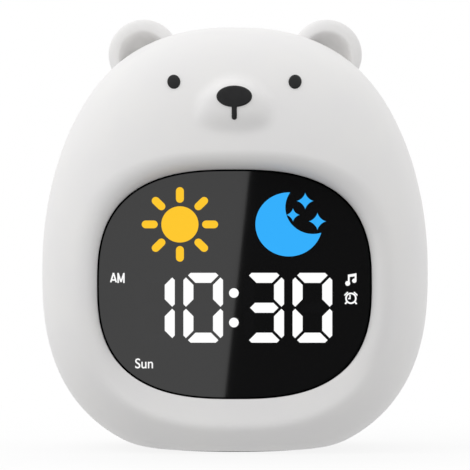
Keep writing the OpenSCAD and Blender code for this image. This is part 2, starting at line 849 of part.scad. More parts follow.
module moon_2d() {
    difference() {
        circle(r = moon_r);
        translate(moon_bite) circle(r = moon_bite_r);
    }
}

// Every light well, seen from the front
module signs_2d() {
    for (x = digit_x) translate([x, digit_z]) digit_2d();
    for (s = [-1, 1]) translate([colon_x, digit_z + s * colon_step]) circle(d = colon_d);
    translate([sun_x, sign_z]) sun_2d();
    translate([moon_x, sign_z]) moon_2d();
    for (s = stars) translate([moon_x + s[0], sign_z + s[1]]) star_2d(s[2]);
    for (i = indicators) translate([i[0] - i[2] / 2, lens_z + i[1] - i[3] / 2]) square([i[2], i[3]]);
}

module display_lens() {
    color("#141416") ring_solid([
        ring([for (a = angles(shell_n)) lens_xz(a, 0)], lens_y + lens_t, 0),
        ring([for (a = angles(shell_n)) lens_xz(a, 0)], lens_y + lens_chamfer, 0),
        ring([for (a = angles(shell_n)) lens_xz(a, -lens_chamfer)], lens_y, 0)
    ]);
}

module lens_gasket() {
    color("#202022") slab(film_y, pocket_y) difference() {
        lens_2d(-lens_clear);
        lens_2d(-ledge_w);
    }
}

module display_film() {
    color("#d8d8d4") slab(film_y, block_y) lens_2d(-ledge_w - display_clear);
}

module light_block() {
    color("#e8e8e6") slab(block_y, display_board_y) difference() {
        lens_2d(-ledge_w - display_clear);
        signs_2d();
    }
}

module display_board() {
    color(board_green) difference() {
        slab(display_board_y, display_board_y + board_t)
            super_2d(display_board_w, display_board_h, lens_n, lens_z);
        for (p = display_screws_xz) rod_y(p[0], p[1], board_screw_d + 2 * screw_clear,
            display_board_y - over, display_board_y + board_t + over);
    }
}

// Middles of the seven segments of a digit
segment_mids = let (x = (digit_w - segment_w) / 2, z = (digit_h - segment_w) / 2)
    [[0, z], [0, 0], [0, -z], [-x, z / 2], [x, z / 2], [-x, -z / 2], [x, -z / 2]];
led_places = concat(
    [for (x = digit_x, m = segment_mids) [x + m[0], digit_z + m[1]]],
    [for (s = [-1, 1]) [colon_x, digit_z + s * colon_step]],
    [[sun_x, sign_z], [moon_x - moon_r / 2, sign_z - moon_r / 2]],
    [for (s = stars) [moon_x + s[0], sign_z + s[1]]],
    [for (i = indicators) [i[0], lens_z + i[1]]]
);
led_w = 1;
led_t = 0.7;

module display_leds() {
    color("#f4e9b0") for (p = led_places)
        block_y(p[0], p[1], led_w, led_w, display_board_y - led_t, display_board_y);
}

module display_screws() {
    screw_set(display_screws_xz, board_screw_d, board_screw_len, display_board_y + board_t, -1);
}

// ---- Rear panel, keys and slider ----------------------------------------------------------

collar_t = 1.2;
collar_gap = 0.08;
switch_w = 6;
switch_t = 3.5;
plunger_d = 3;
plunger_gap = 0.05;
plunger_y = main_board_y + switch_t + key_travel + 0.2;
plunger_root = 1.8;
key_stem_d = 4;
slider_mid_x = -side_x;
slider_gap = 0.2;
slider_switch_t = 3.6;
grille_rings = [[0, 1], [1, 6], [2, 12], [3, 18]];

module stadium_2d(w, h) {
    square([w - h, h], center = true);
    for (s = [-1, 1]) translate([s * (w - h) / 2, 0]) circle(d = h);
}

module slider_slot() {
    w = slider_travel + slider_w + 2 * slider_gap;
    block_y(slider_mid_x, side_z, w, slider_h + 2 * slider_gap, panel_y - over, back_y + over);
}

module rear_panel() {
    edge = 0.5;
    color("#e6e4df") difference() {
        union() {
            rod_y(0, panel_z, 2 * panel_r, panel_y, back_y - edge);
            translate([0, back_y, panel_z]) rotate([90, 0, 0])
                cylinder(r1 = panel_r - edge, r2 = panel_r, h = edge, $fn = 96);
            for (p = board_posts_xz) rod_y(p[0], p[1], post_d, main_board_y, panel_y + over);
            rod_y(0, speaker_z, speaker_d + 2.3, panel_y - speaker_t, panel_y + over);
        }
        rod_y(0, speaker_z, speaker_d + 0.3, panel_y - speaker_t - over, panel_y);
        for (c = key_columns, r = [key_row_high, key_row_low])
            rod_y(c * key_step_x, panel_z + r, key_d + 2 * key_clear, panel_y - over, back_y + over);
        for (g = grille_rings, k = [0 : g[1] - 1]) let (a = 360 * k / g[1], d = g[0] * grille_step)
            rod_y(d * cos(a), speaker_z + d * sin(a), grille_hole_d, panel_y - over, back_y + over);
        slider_slot();
        translate([side_x, 0, side_z]) slab(panel_y - over, back_y + over)
            stadium_2d(usb_w + 2 * usb_clear, usb_h + 2 * usb_clear);
        shank_bores(board_posts_xz, board_screw_d, board_screw_len - board_t, main_board_y, 1);
        for (p = panel_screws_xz) {
            rod_y(p[0], p[1], board_screw_d + 2 * screw_clear, panel_y - over, back_y + over);
        }
    }
}

module panel_screws() {
    screw_set(panel_screws_xz, board_screw_d, board_screw_len, back_y, -1);
}

// A key and its collar, whose stem stands on the switch's plunger
module key(column, row) {
    x = column * key_step_x;
    z = panel_z + row;
    top_y = back_y + key_proud;
    dish_r = 14;
    color("#dcd9d2") difference() {
        union() {
            rod_y(x, z, key_d, panel_y - collar_gap - collar_t, top_y);
            rod_y(x, z, key_d + 2 * key_collar, panel_y - collar_gap - collar_t, panel_y - collar_gap);
            rod_y(x, z, key_stem_d, plunger_y, panel_y);
        }
        translate([x, top_y + dish_r - 0.35, z]) sphere(r = dish_r);
    }
}

module plunger(column, row) {
    color("#1c1c1e") rod_y(column * key_step_x, panel_z + row, plunger_d,
        main_board_y + switch_t - plunger_root, plunger_y);
}

module key_mode() { key(-1, key_row_high); }
module key_up() { key(0, key_row_high); }
module key_down() { key(0, key_row_low); }
module key_alarm() { key(1, key_row_high); }
module key_sound() { key(-1, key_row_low); }
module key_light() { key(1, key_row_low); }
module plunger_mode() { plunger(-1, key_row_high); }
module plunger_up() { plunger(0, key_row_high); }
module plunger_down() { plunger(0, key_row_low); }
module plunger_alarm() { plunger(1, key_row_high); }
module plunger_sound() { plunger(-1, key_row_low); }
module plunger_light() { plunger(1, key_row_low); }

module switch_bodies() {
    color("#b8bcc0") for (c = key_columns, r = [key_row_high, key_row_low]) {
        x = c * key_step_x;
        z = panel_z + r;
        difference() {
            block_y(x, z, switch_w, switch_w, main_board_y, main_board_y + switch_t);
            rod_y(x, z, plunger_d + 2 * plunger_gap,
                main_board_y + switch_t - plunger_root - key_travel - 0.2,
                main_board_y + switch_t + over);
        }
    }
}

slider_tongue = [2, 1];
slider_tongue_len = 1.5;
slider_base_y = main_board_y + slider_switch_t + 0.1;

// The knob at the off end of its travel
module alarm_slider() {
    x = slider_mid_x - slider_travel / 2;
    flange_w = slider_w + slider_travel + 1.6;
    color("#c9463d") {
        block_y(x, side_z, slider_w, slider_h, slider_base_y, back_y + key_proud);
        block_y(x, side_z, flange_w, slider_h + 2, panel_y - collar_gap - 1, panel_y - collar_gap);
        block_y(x, side_z, slider_tongue[0], slider_tongue[1],
            slider_base_y - slider_tongue_len, slider_base_y + over);
    }
}

module slider_switch() {
    body = [8.6, 4.4];
    top_y = main_board_y + slider_switch_t;
    color("#b8bcc0") difference() {
        block_y(slider_mid_x, side_z, body[0], body[1], main_board_y, top_y);
        block_y(slider_mid_x, side_z, slider_tongue[0] + slider_travel + 2 * slider_gap,
            slider_tongue[1] + 2 * slider_gap, top_y - slider_tongue_len - 0.3, top_y + over);
    }
}

// ---- Main board ---------------------------------------------------------------------------

// Connectors on the front of the main board: place, width and height
battery_plug = [-side_x, panel_z - side_drop - 4.5];
speaker_plug = [side_x, panel_z - side_drop - 4.5];
light_plug = [14, panel_z + 20];
touch_plug = [-14, panel_z + 20];
cable_plug_z = panel_z + 4;
plug_w = 6;
plug_h = 4.5;
plug_t = 3.5;
cable_plug_w = 15;
cable_plug_h = 4;
cable_plug_t = 2;
cable_w = 12;
cable_t = 0.3;
chip_w = 7;
chip_t = 1;
coil_w = 5;
coil_t = 1.8;
chip_up = 19;
coil_x = 12.5;
coil_up = 9;
plug_y = main_board_y - board_t - plug_t;

module main_board_2d() {
    leg = 2 * (main_board_x - side_x);
    intersection() {
        circle(r = panel_hole_r - 1);
        union() {
            translate([-main_board_x, -0.5]) square([2 * main_board_x, main_board_top + 0.5]);
            for (s = [-1, 1]) translate([s * side_x - leg / 2, -side_drop - 7.5])
                square([leg, side_drop + 8]);
        }
    }
}

module main_board() {
    color(board_green) difference() {
        translate([0, 0, panel_z]) slab(main_board_y - board_t, main_board_y) main_board_2d();
        for (p = board_posts_xz) rod_y(p[0], p[1], board_screw_d + 2 * screw_clear,
            main_board_y - board_t - over, main_board_y + over);
    }
}

module board_parts() {
    front = main_board_y - board_t;
    color("#2a2a2e") {
        block_y(0, panel_z + chip_up, chip_w, chip_w, front - chip_t, front);
        block_y(coil_x, panel_z + coil_up, coil_w, coil_w, front - coil_t, front);
        block_y(0, cable_plug_z, cable_plug_w, cable_plug_h, cable_to_y, front);
        block_y(0, cable_plug_z, cable_plug_w, cable_plug_h, display_board_y + board_t, cable_from_y);
        for (p = [battery_plug, speaker_plug, light_plug, touch_plug])
            block_y(p[0], p[1], plug_w, plug_h, plug_y, front);
    }
}

module board_screws() {
    screw_set(board_posts_xz, board_screw_d, board_screw_len, main_board_y - board_t, 1);
}

// ---- Charging socket ----------------------------------------------------------------------

usb_mouth_y = back_y - usb_recess;
usb_floor = 1.2;

module usb_shell() {
    color("#aeb3b8") translate([side_x, 0, side_z]) difference() {
        slab(main_board_y, usb_mouth_y) stadium_2d(usb_w, usb_h);
        slab(main_board_y + usb_floor, usb_mouth_y + over)
            stadium_2d(usb_w - 2 * usb_wall, usb_h - 2 * usb_wall);
    }
}

module usb_tongue() {
    color("#1c1c1e") block_y(side_x, side_z, 6.7, 0.7, main_board_y + usb_floor, usb_mouth_y - over);
}

// ---- Speaker ------------------------------------------------------------------------------

speaker_seal_t = 0.6;
speaker_front_y = panel_y - speaker_seal_t;
speaker_floor_y = speaker_front_y - speaker_t;
speaker_wall = 0.8;
cone_edge = 1;

// Revolved about the speaker's axis, with the profile's height toward the grille
module speaker_turn(y) {
    translate([0, y, speaker_z]) rotate([-90, 0, 0]) rotate_extrude($fn = 96) children();
}

module speaker_frame() {
    r = speaker_d / 2;
    color("#6d7176") speaker_turn(speaker_floor_y) difference() {
        square([r, speaker_t]);
        translate([0, speaker_wall]) square([r - 1.6, speaker_t]);
        translate([0, speaker_t - cone_edge]) square([r - speaker_wall, speaker_t]);
        translate([0, -over]) square([4.2, speaker_t]);
    }
}

module speaker_cone() {
    r = speaker_d / 2 - speaker_wall - 0.1;
    high = speaker_t - cone_edge;
    color("#2b2b2e") speaker_turn(speaker_floor_y) polygon([
        [0, 2], [3.3, 2], [r - 2, high + 0.4], [r, high + 0.4], [r, high], [r - 1.8, high],
        [3.6, 1.5], [3.6, 0.2], [3.2, 0.2], [3.2, 1.6], [0, 1.6]
    ]);
}

module speaker_magnet() {
    color("#8f9499") rod_y(0, speaker_z, magnet_d, speaker_floor_y - magnet_t, speaker_floor_y);
}

module speaker_gasket() {
    r = speaker_d / 2;
    color("#3a3a3c") speaker_turn(speaker_front_y) translate([r - 1.6, 0]) square([1.6, speaker_seal_t]);
}

// ---- Battery ------------------------------------------------------------------------------

module battery_cell() {
    color("#3f6fb5") translate([-cell_len / 2, cell_y, cell_z]) rotate([0, 90, 0])
        cylinder(d = cell_d, h = cell_len);
}

module battery_clamp() {
    inner_r = cell_d / 2 + cell_clear;
    outer_r = inner_r + clamp_t;
    foot = clamp_screw_y + 2.1;
    color("#d5d3ce") difference() {
        translate([-clamp_w / 2, cell_y, 0]) rotate([90, 0, 90]) linear_extrude(clamp_w)
            difference() {
                union() {
                    translate([0, cell_z]) circle(r = outer_r);
                    translate([-outer_r, clamp_foot_z]) square([2 * outer_r, cell_z - clamp_foot_z]);
                    translate([-foot, clamp_foot_z]) square([2 * foot, clamp_t]);
                }
                translate([0, cell_z]) circle(r = inner_r);
                translate([-inner_r, 0]) square([2 * inner_r, cell_z]);
                translate([-foot, 0]) square([2 * foot, clamp_foot_z]);
            }
        for (y = clamp_screws_y) translate([0, y, 0])
            cylinder(d = board_screw_d + 2 * screw_clear, h = cell_z);
    }
}

module clamp_screws() {
    color(screw_grey) for (y = clamp_screws_y) translate([0, y, clamp_foot_z + clamp_t])
        rotate([-90, 0, 0]) screw_y(0, 0, board_screw_d, board_screw_len, 0, 1);
}

// ---- Night light and touch plate ----------------------------------------------------------

module light_board() {
    color(board_green) difference() {
        slab(light_y, light_y + board_t) super_2d(diffuser_w + 2, diffuser_h, 4, light_z);
        for (p = light_screws_xz) rod_y(p[0], p[1], board_screw_d + 2 * screw_clear,
            light_y - over, light_y + board_t + over);
    }
}

night_led_w = 3;
night_led_t = 1;
night_led_step = 6;
night_led_rise = 4;

module night_leds() {
    color("#ffe9b8") for (k = [-1.5 : 1.5], s = [-1, 1])
        block_y(k * night_led_step, light_z + s * night_led_rise, night_led_w, night_led_w,
            light_y - night_led_t, light_y);
}

module light_diffuser() {
    color("#fbfaf6") difference() {
        slab(light_y - diffuser_t, light_y) super_2d(diffuser_w, diffuser_h, 3.2, light_z);
        slab(light_y - diffuser_t + diffuser_wall, light_y + over)
            super_2d(diffuser_w - 2 * diffuser_wall, diffuser_h - 2 * diffuser_wall, 3.2, light_z);
    }
}

module light_screws() {
    screw_set(light_screws_xz, board_screw_d, board_screw_len, light_y, 1);
}

touch_y = touch_d / 2 + 2.5;
foam_top = crown_z - wall - 1.4;
foam_t = 1;
touch_t = 0.3;

module touch_foam() {
    color("#8d8d90") translate([0, touch_y, foam_top - foam_t]) cylinder(d = touch_d, h = foam_t);
}

module touch_plate() {
    color("#c98a4b") translate([0, touch_y, foam_top - foam_t - touch_t]) cylinder(d = touch_d, h = touch_t);
}

// ---- Cable and leads ----------------------------------------------------------------------

// Route of the flat cable in Y and Z, from the display board to the main board
cable_from_y = display_board_y + board_t + cable_plug_t;
cable_to_y = main_board_y - board_t - cable_plug_t;
cable_route = [
    [cable_from_y, cable_plug_z], [cable_from_y + 4, cable_plug_z], [cable_from_y + 11, cable_plug_z - 4],
    [(cable_from_y + cable_to_y) / 2, cable_plug_z - 8], [cable_to_y - 16, cable_plug_z - 7],
    [cable_to_y - 8.5, cable_plug_z - 2], [cable_to_y - 4, cable_plug_z], [cable_to_y, cable_plug_z]
];
lead_r = 0.6;
touch_low = foam_top - foam_t - touch_t;
cell_end_x = -cell_len / 2;
battery_route = [
    [cell_end_x, cell_y, cell_z + 1], [cell_end_x - 1.5, cell_y + 0.5, cell_z + 4],
    [cell_end_x - 0.5, cell_y + 2.5, cell_z + 12],
    [battery_plug[0] - 8, cell_y + 3.5, battery_plug[1] - 4],
    [battery_plug[0] - 1, cell_y + 4.5, battery_plug[1]],
    [battery_plug[0], plug_y, battery_plug[1]]
];
speaker_route = [
    [9, speaker_floor_y, speaker_z + 5], [10, speaker_floor_y - 3.4, speaker_z + 7],
    [11, plug_y, speaker_z + 6.5], [speaker_plug[0] - 5, plug_y - 2.9, speaker_plug[1] + 3],
    [speaker_plug[0] - 1, plug_y - 2.9, speaker_plug[1] + 0.3],
    [speaker_plug[0], plug_y, speaker_plug[1]]
];
light_route = [
    [8, light_y + board_t, light_z - 6.4], [8, light_y + board_t + 2.4, light_z - 6.9],
    [11, plug_y - 4.9, light_z - 13.4], [light_plug[0], plug_y - 3.9, light_plug[1] + 1],
    [light_plug[0], plug_y, light_plug[1]]
];
touch_route = [
    [0, touch_y, touch_low], [-1, touch_y + 2, touch_low - 3.8], [-4, plug_y - 4.9, touch_low - 12.8],
    [-8, plug_y - 1.9, touch_low - 25.8], [touch_plug[0] + 1, plug_y - 3.9, touch_plug[1] + 3],
    [touch_plug[0], plug_y, touch_plug[1]]
];
// Every lead ends square on a plug of the main board
plug_way = [0, 1, 0];

// Points of a smooth curve through a route, steps to each stretch
function smooth(route, steps) =
    let (last = len(route) - 1)
    concat(
        [for (i = [0 : last - 1], k = [0 : steps - 1])
            let (
                t = k / steps,
                p0 = route[max(i - 1, 0)], p1 = route[i],
                p2 = route[i + 1], p3 = route[min(i + 2, last)]
            )
            (2 * p1 + (p2 - p0) * t + (2 * p0 - 5 * p1 + 4 * p2 - p3) * t * t
                + (3 * p1 - p0 - 3 * p2 + p3) * t * t * t) / 2],
        [route[last]]
    );

function path_dir(path, i) = unit(path[min(i + 1, len(path) - 1)] - path[max(i - 1, 0)]);

// A round lead along a smoothed route. It leaves square to the face that way points out of, and its
// distance from the route turns from one shift to the other
module lead(route, way, shift_from, shift_to) {
    path = smooth(route, 3);
    last = len(path) - 1;
    ring_solid([for (i = [0 : last])
        let (
            d = i == 0 ? way : i == last ? plug_way : path_dir(path, i),
            u = unit(cross([1, 0.1, 0.3], d)),
            v = cross(d, u),
            blend = mix(shift_from, shift_to, i / last),
            shift = norm(blend) > 0 ? unit(blend) * norm(shift_from) : blend
        )
        [for (a = angles(8)) path[i] + shift + lead_r * (cos(a) * u + sin(a) * v)]
    ]);
}

// Two leads side by side, spread from the route to both sides
module lead_pair(route, way, spread_from, spread_to, color_a, color_b) {
    color(color_a) lead(route, way, -spread_from, -spread_to);
    color(color_b) lead(route, way, spread_from, spread_to);
}

module display_cable() {
    path = smooth(cable_route, 3);
    last = len(path) - 1;
    function beside(i, s) =
        let (d = i == 0 || i == last ? [1, 0] : path_dir(path, i))
        path[i] + s * cable_t / 2 * [-d[1], d[0]];
    edges = concat([for (i = [0 : last]) beside(i, -1)], [for (i = [last : -1 : 0]) beside(i, 1)]);
    color("#e9e6dc") translate([-cable_w / 2, 0, 0]) rotate([90, 0, 90])
        linear_extrude(cable_w) polygon(edges);
}

module battery_leads() {
    lead_pair(battery_route, [-1, 0, 0], [0, 0.95, 0], [0.95, 0, 0], "#c23b32", "#222224");
}

module speaker_leads() {
    lead_pair(speaker_route, [0, -1, 0], [0.4, 0, 0.8], [0.4, 0, 0.8], "#c23b32", "#222224");
}

module light_leads() {
    lead_pair(light_route, [0, 1, 0], [0.9, 0, 0], [0.9, 0, 0], "#e8e4da", "#222224");
}

module touch_lead() {
    color("#d9b13b") lead(touch_route, [0, 0, -1], [0, 0, 0], [0, 0, 0]);
}

// ---- The clock ----------------------------------------------------------------------------

front_shell();
rear_shell();
left_ear();
right_ear();
left_eye();
right_eye();
nose();
display_lens();
lens_gasket();
display_film();
light_block();
display_board();
display_leds();
display_screws();
rear_panel();
panel_screws();
key_mode();
key_up();
key_down();
key_alarm();
key_sound();
key_light();
plunger_mode();
plunger_up();
plunger_down();
plunger_alarm();
plunger_sound();
plunger_light();
switch_bodies();
alarm_slider();
slider_switch();
main_board();
board_parts();
board_screws();
usb_shell();
usb_tongue();
speaker_frame();
speaker_cone();
speaker_magnet();
speaker_gasket();
battery_cell();
battery_clamp();
clamp_screws();
light_board();
night_leds();
light_diffuser();
light_screws();
touch_plate();
touch_foam();
housing_screws();
rest_pad();
display_cable();
battery_leads();
speaker_leads();
light_leads();
touch_lead();
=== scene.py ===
"""Bear-shaped bedside clock with a night light: its looks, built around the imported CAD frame.

The front faces -Y, +X is to the right seen from the front, and +Z is up. Sizes are in millimetres
and are turned into metres where a mesh is made.
"""

import math

import bmesh
import bpy
import numpy as np
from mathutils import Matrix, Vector
from mathutils.geometry import delaunay_2d_cdt

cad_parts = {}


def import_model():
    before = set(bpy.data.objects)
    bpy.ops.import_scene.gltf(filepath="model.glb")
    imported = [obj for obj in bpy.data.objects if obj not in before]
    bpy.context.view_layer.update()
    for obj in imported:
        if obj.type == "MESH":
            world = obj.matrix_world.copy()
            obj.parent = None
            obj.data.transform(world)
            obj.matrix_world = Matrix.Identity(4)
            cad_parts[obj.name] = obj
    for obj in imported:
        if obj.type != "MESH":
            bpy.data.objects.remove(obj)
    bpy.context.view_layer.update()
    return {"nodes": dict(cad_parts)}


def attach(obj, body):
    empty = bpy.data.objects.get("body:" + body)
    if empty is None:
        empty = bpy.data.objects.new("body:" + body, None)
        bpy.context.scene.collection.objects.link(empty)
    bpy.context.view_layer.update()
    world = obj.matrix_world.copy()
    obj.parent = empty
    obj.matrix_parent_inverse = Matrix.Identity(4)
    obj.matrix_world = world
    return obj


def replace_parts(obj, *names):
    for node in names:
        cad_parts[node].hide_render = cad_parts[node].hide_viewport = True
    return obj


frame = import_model()
nodes = frame["nodes"]

MM = 0.001             # metres in a millimetre

# ---- Sizes of the body, in mm ------------------------------------------------

HALF_W = 57.4          # half the width at the widest level
WAIST_Z = 53.0         # height of the widest level
CROWN_H = 72.9         # crown above that level
BASE_H = 55.9          # depth of the outline below it, before the base is flattened
CROWN_N, BASE_N = 2.35, 2.5          # roundness of the outline above and below
SHOULDER_TRIM = 0.0125               # share by which the shoulders draw in from that outline
FRONT_DEPTH, FRONT_M = 48.0, 3.0     # depth and roundness of the front half
REAR_DEPTH, REAR_M = 44.0, 3.2       # and of the rear half
BACK_Y = 40.0          # the flat back
WALL = 2.4
FLOOR_Z, SETTLE_R = 0.6, 3.0         # underside of the shells, and how softly they turn up from it
EDGE_R = 0.22          # rounded edge where the two shells meet

LENS_W, LENS_H, LENS_N = 80.6, 67.4, 2.7    # the window's width, height and roundness
LENS_Z, LENS_Y, LENS_T = 50.7, -35.0, 2.0
LENS_CHAMFER, LENS_CLEAR = 0.4, 0.15
LENS_PAINTED_EDGE = 0.4        # width of the painted dark band round the window's edge, which stands in for the dark reflection in that edge
LIP_WIDTH = (6.2, 8.0, 13.0)         # of the lip round the window, at its top, its sides and its bottom
LIP_ROUND = (2.0, 1.5, 1.2)          # and its roundness: 1 is a flat slope, and 2 a quarter of an oval
LIP_RISE, LIP_SOFT = 0.36, 2.0       # along the bottom it is a plain slope outwards, softly rounded off
LIP_LOW = (0.35, 0.85)               # sine of the angle downwards where that slope sets in, and is alone
LEDGE_W = 2.5
POCKET_Y, LEDGE_BACK_Y = -32.5, -30.5        # the pocket that the window lies in

CROWN_Z = WAIST_Z + CROWN_H
SNOUT_Z = CROWN_Z - 22.35
SNOUT_HALF = np.array([9.4, 7.0, 4.5])      # half width, half height, and how far it stands out
SNOUT_N, SNOUT_TAPER = 2.35, 0.27            # its roundness, and how much wider it is towards the chin
SNOUT_DROOP = 19.0     # degrees by which it turns down from square to the head
SNOUT_TOP_SOFT, SNOUT_CHIN_SOFT = 4.8, 2.8   # how softly it runs into the head, above and below
SNOUT_TURN = 6.0       # height over which the one softness passes into the other
SNOUT_REACH_X, SNOUT_REACH_Z = 24.0, 18.0    # beyond these from its middle, the head is plain
SNOUT_FADE = 4.0       # width of the band inside that reach where it fades out
SNOUT_SEARCH = 11.2    # how far in front of the head its surface is looked for
NOSE_Z = CROWN_Z - 19.68
NOSE_HALF_W, NOSE_HALF_H, NOSE_N = 5.23, 3.15, 2.0
STEM_W, STEM_LEN = 1.55, 6.9
EYE_X, EYE_Z = 17.8, CROWN_Z - 15.6
EYE_HALF = (1.9, 1.98)               # half width and half height

EAR_X, EAR_R, EAR_Y = 28.4, 10.5, 5.4
EAR_SINK = 2.2         # how far inside the head's outline the ear's middle lies
EAR_RIM_R = 3.0
EAR_DISH_R, EAR_DISH_DEPTH = 7.3, 5.2
EAR_DISH_DROP = 0.5    # the dish lies a little below the ear's middle
EAR_DISH_N = 3.4       # how flat its floor and how steep its wall is
EAR_CUT = 0.4          # the disc ends this far out from its middle, which is still inside the head

BACK_SOFT = 0.8        # how softly the rear half turns into the flat back
PANEL_Z, PANEL_R, PANEL_Y = 56.0, 35.0, 38.0
PANEL_CLEAR = 0.15
PANEL_HOLE_R = 29.5
WELL_R, WELL_FLOOR_Y, BOSS_R = 2.6, 8.0, 3.5  # wells of the housing screws
BOSS_END_Y = WELL_FLOOR_Y - 2                # where the boss round a well ends inside
WELLS = [(side * x, z) for x, z in ((36.0, CROWN_Z - 34.2), (38.0, 14.0)) for side in (1, -1)]

AROUND = 420           # points round each ring of the shells

# ---- Curves ------------------------------------------------------------------


def signed_power(v, e):
    """A power that keeps the sign of v."""
    return np.sign(v) * np.abs(v) ** e


def smooth_step(v):
    """0 below 0 and 1 above 1, with a soft turn at both ends."""
    v = np.clip(v, 0, 1)
    return v ** 2 * (3 - 2 * v)


def smooth_min(a, b, soft):
    """The lesser of a and b, rounded where they cross."""
    h = np.clip(0.5 + 0.5 * (b - a) / soft, 0, 1)
    return b + (a - b) * h - soft * h * (1 - h)


def settle(z, inset=0.0):
    """The base turns up from the table: heights near the floor settle on it."""
    low = FLOOR_Z + inset
    rise = z - low
    curved = low + (rise + SETTLE_R) ** 2 / (4 * SETTLE_R)
    return np.where(rise >= SETTLE_R, z, np.where(rise <= -SETTLE_R, low, curved))


def shoulder(u, v):
    """How much the shoulders draw in, at shares of the half width and of the crown's height."""
    turn = np.arctan2(v, np.abs(u))
    return 1 + SHOULDER_TRIM * np.sin(3 * turn) ** 2 * ((turn > 0) & (turn < math.pi / 3))


def outline(a, inset=0.0):
    """Outline of the body at the seam, drawn in by inset."""
    up = np.sin(a) >= 0
    n = np.where(up, CROWN_N, BASE_N)
    h = np.where(up, CROWN_H, BASE_H) - inset
    u, v = signed_power(np.cos(a), 2 / n), signed_power(np.sin(a), 2 / n)
    drawn = shoulder(u, v)
    return np.stack([(HALF_W - inset) * u / drawn, WAIST_Z + h * v / drawn], -1)


def gauge(x, z, inset=0.0):
    """1 on the outline and 0 at the body's middle."""
    up = z >= WAIST_Z
    n = np.where(up, CROWN_N, BASE_N)
    h = np.where(up, CROWN_H, BASE_H) - inset
    u, v = np.abs(x) / (HALF_W - inset), (z - WAIST_Z) / h
    return (u ** n + np.abs(v) ** n) ** (1 / n) * shoulder(u, v)


def front_skin(x, z, inset=0.0):
    return -(FRONT_DEPTH - inset) * np.maximum(0, 1 - gauge(x, z, inset) ** FRONT_M) ** (1 / FRONT_M)


def front_normal(x, z):
    e = 0.05
    slope_x = (front_skin(x + e, z) - front_skin(x - e, z)) / (2 * e)
    slope_z = (front_skin(x, z + e) - front_skin(x, z - e)) / (2 * e)
    n = np.stack([slope_x, -np.ones_like(slope_x), slope_z], -1)
    return n / np.linalg.norm(n, axis=-1, keepdims=True)


SNOUT_MID = np.array([0.0, float(front_skin(0.0, SNOUT_Z)), SNOUT_Z])
HEAD_NORMAL = front_normal(np.array(0.0), np.array(SNOUT_Z))
SNOUT_LEAN = math.atan2(HEAD_NORMAL[2], -HEAD_NORMAL[1]) - math.radians(SNOUT_DROOP)
SNOUT_OUT = np.array([0.0, -math.cos(SNOUT_LEAN), math.sin(SNOUT_LEAN)])
SNOUT_UP = np.array([0.0, SNOUT_OUT[2], -SNOUT_OUT[1]])


def snout_distance(x, y, z):
    """Distance from the snout, a low dome that is tilted back with the head."""
    off = np.stack([x, y - SNOUT_MID[1], z - SNOUT_MID[2]], -1)
    up = off @ SNOUT_UP
    wide = 1 - SNOUT_TAPER * np.clip(up / SNOUT_HALF[1], -1.2, 1.2)
    share = np.abs(np.stack([off[..., 0] / wide, up, off @ SNOUT_OUT], -1) / SNOUT_HALF) + 1e-9
    scaled = (share ** SNOUT_N).sum(-1) ** (1 / SNOUT_N)
    steep = np.linalg.norm(share ** (SNOUT_N - 1) / SNOUT_HALF, axis=-1)
    return (scaled - 1) * scaled ** (SNOUT_N - 1) / np.maximum(steep, 1e-9)


def face_y(x, z):
    """Depth of the front with the snout blended into it."""
    skin = front_skin(x, z)
    lean = -front_normal(x, z)[..., 1]
    above = smooth_step((z - SNOUT_Z) / SNOUT_TURN + 0.5)
    soft = SNOUT_CHIN_SOFT + (SNOUT_TOP_SOFT - SNOUT_CHIN_SOFT) * above
    low, high = skin - SNOUT_SEARCH, skin
    for _ in range(26):  # halves the search each time, far below a micrometre
        mid = (low + high) / 2
        inside = smooth_min((skin - mid) * lean, snout_distance(x, mid, z), soft) < 0
        high, low = np.where(inside, mid, high), np.where(inside, low, mid)
    fade = (np.clip((SNOUT_REACH_X - np.abs(x)) / SNOUT_FADE, 0, 1)
            * np.clip((SNOUT_REACH_Z - np.abs(z - SNOUT_Z)) / SNOUT_FADE, 0, 1))
    return skin + (np.minimum(low, skin) - skin) * fade


def superellipse(a, w, h, n, z, x=0.0):
    u, v = signed_power(np.cos(a), 2 / n), signed_power(np.sin(a), 2 / n)
    return np.stack([x + w / 2 * u, z + h / 2 * v], -1)


def lens_outline(a, grow=0.0):
    return superellipse(a, LENS_W + 2 * grow, LENS_H + 2 * grow, LENS_N, LENS_Z)


def round_lip(a, values):
    """Blends the values at the lip's top, sides and bottom round the window."""
    top, side, low = values
    return side + (np.where(np.sin(a) > 0, top, low) - side) * np.sin(a) ** 2


def even_angles(curve, n, weight=None):
    """Angles at which a closed curve's points are evenly spaced, or closer where weight is high."""
    fine = np.linspace(0, 2 * np.pi, 20001)
    p = curve(fine)
    step = np.linalg.norm(np.diff(p, axis=0), axis=1)
    if weight is not None:
        step = step * weight((p[1:] + p[:-1]) / 2)
    run = np.concatenate([[0], np.cumsum(step)])
    return np.interp(np.arange(n) / n * run[-1], run, fine)


def ring(points, y, inset=0.0):
    """A ring of a shell from its points over the outline plane, at depth y."""
    y = np.broadcast_to(y, points.shape[:1])
    return np.stack([points[:, 0], y, settle(points[:, 1], inset)], -1)


def seam_rings(a, side):
    """The rounded edge of the front (side -1) or rear (side 1) shell where the two meet."""
    return [ring(outline(a, EDGE_R * (1 - math.sin(t))), side * EDGE_R * (1 - math.cos(t)))
            for t in np.radians([0, 30, 60, 90])]


# ---- Meshes ------------------------------------------------------------------


def added(name, data):
    """An object made of its data and put into the scene."""
    obj = bpy.data.objects.new(name, data)
    bpy.context.scene.collection.objects.link(obj)
    return obj


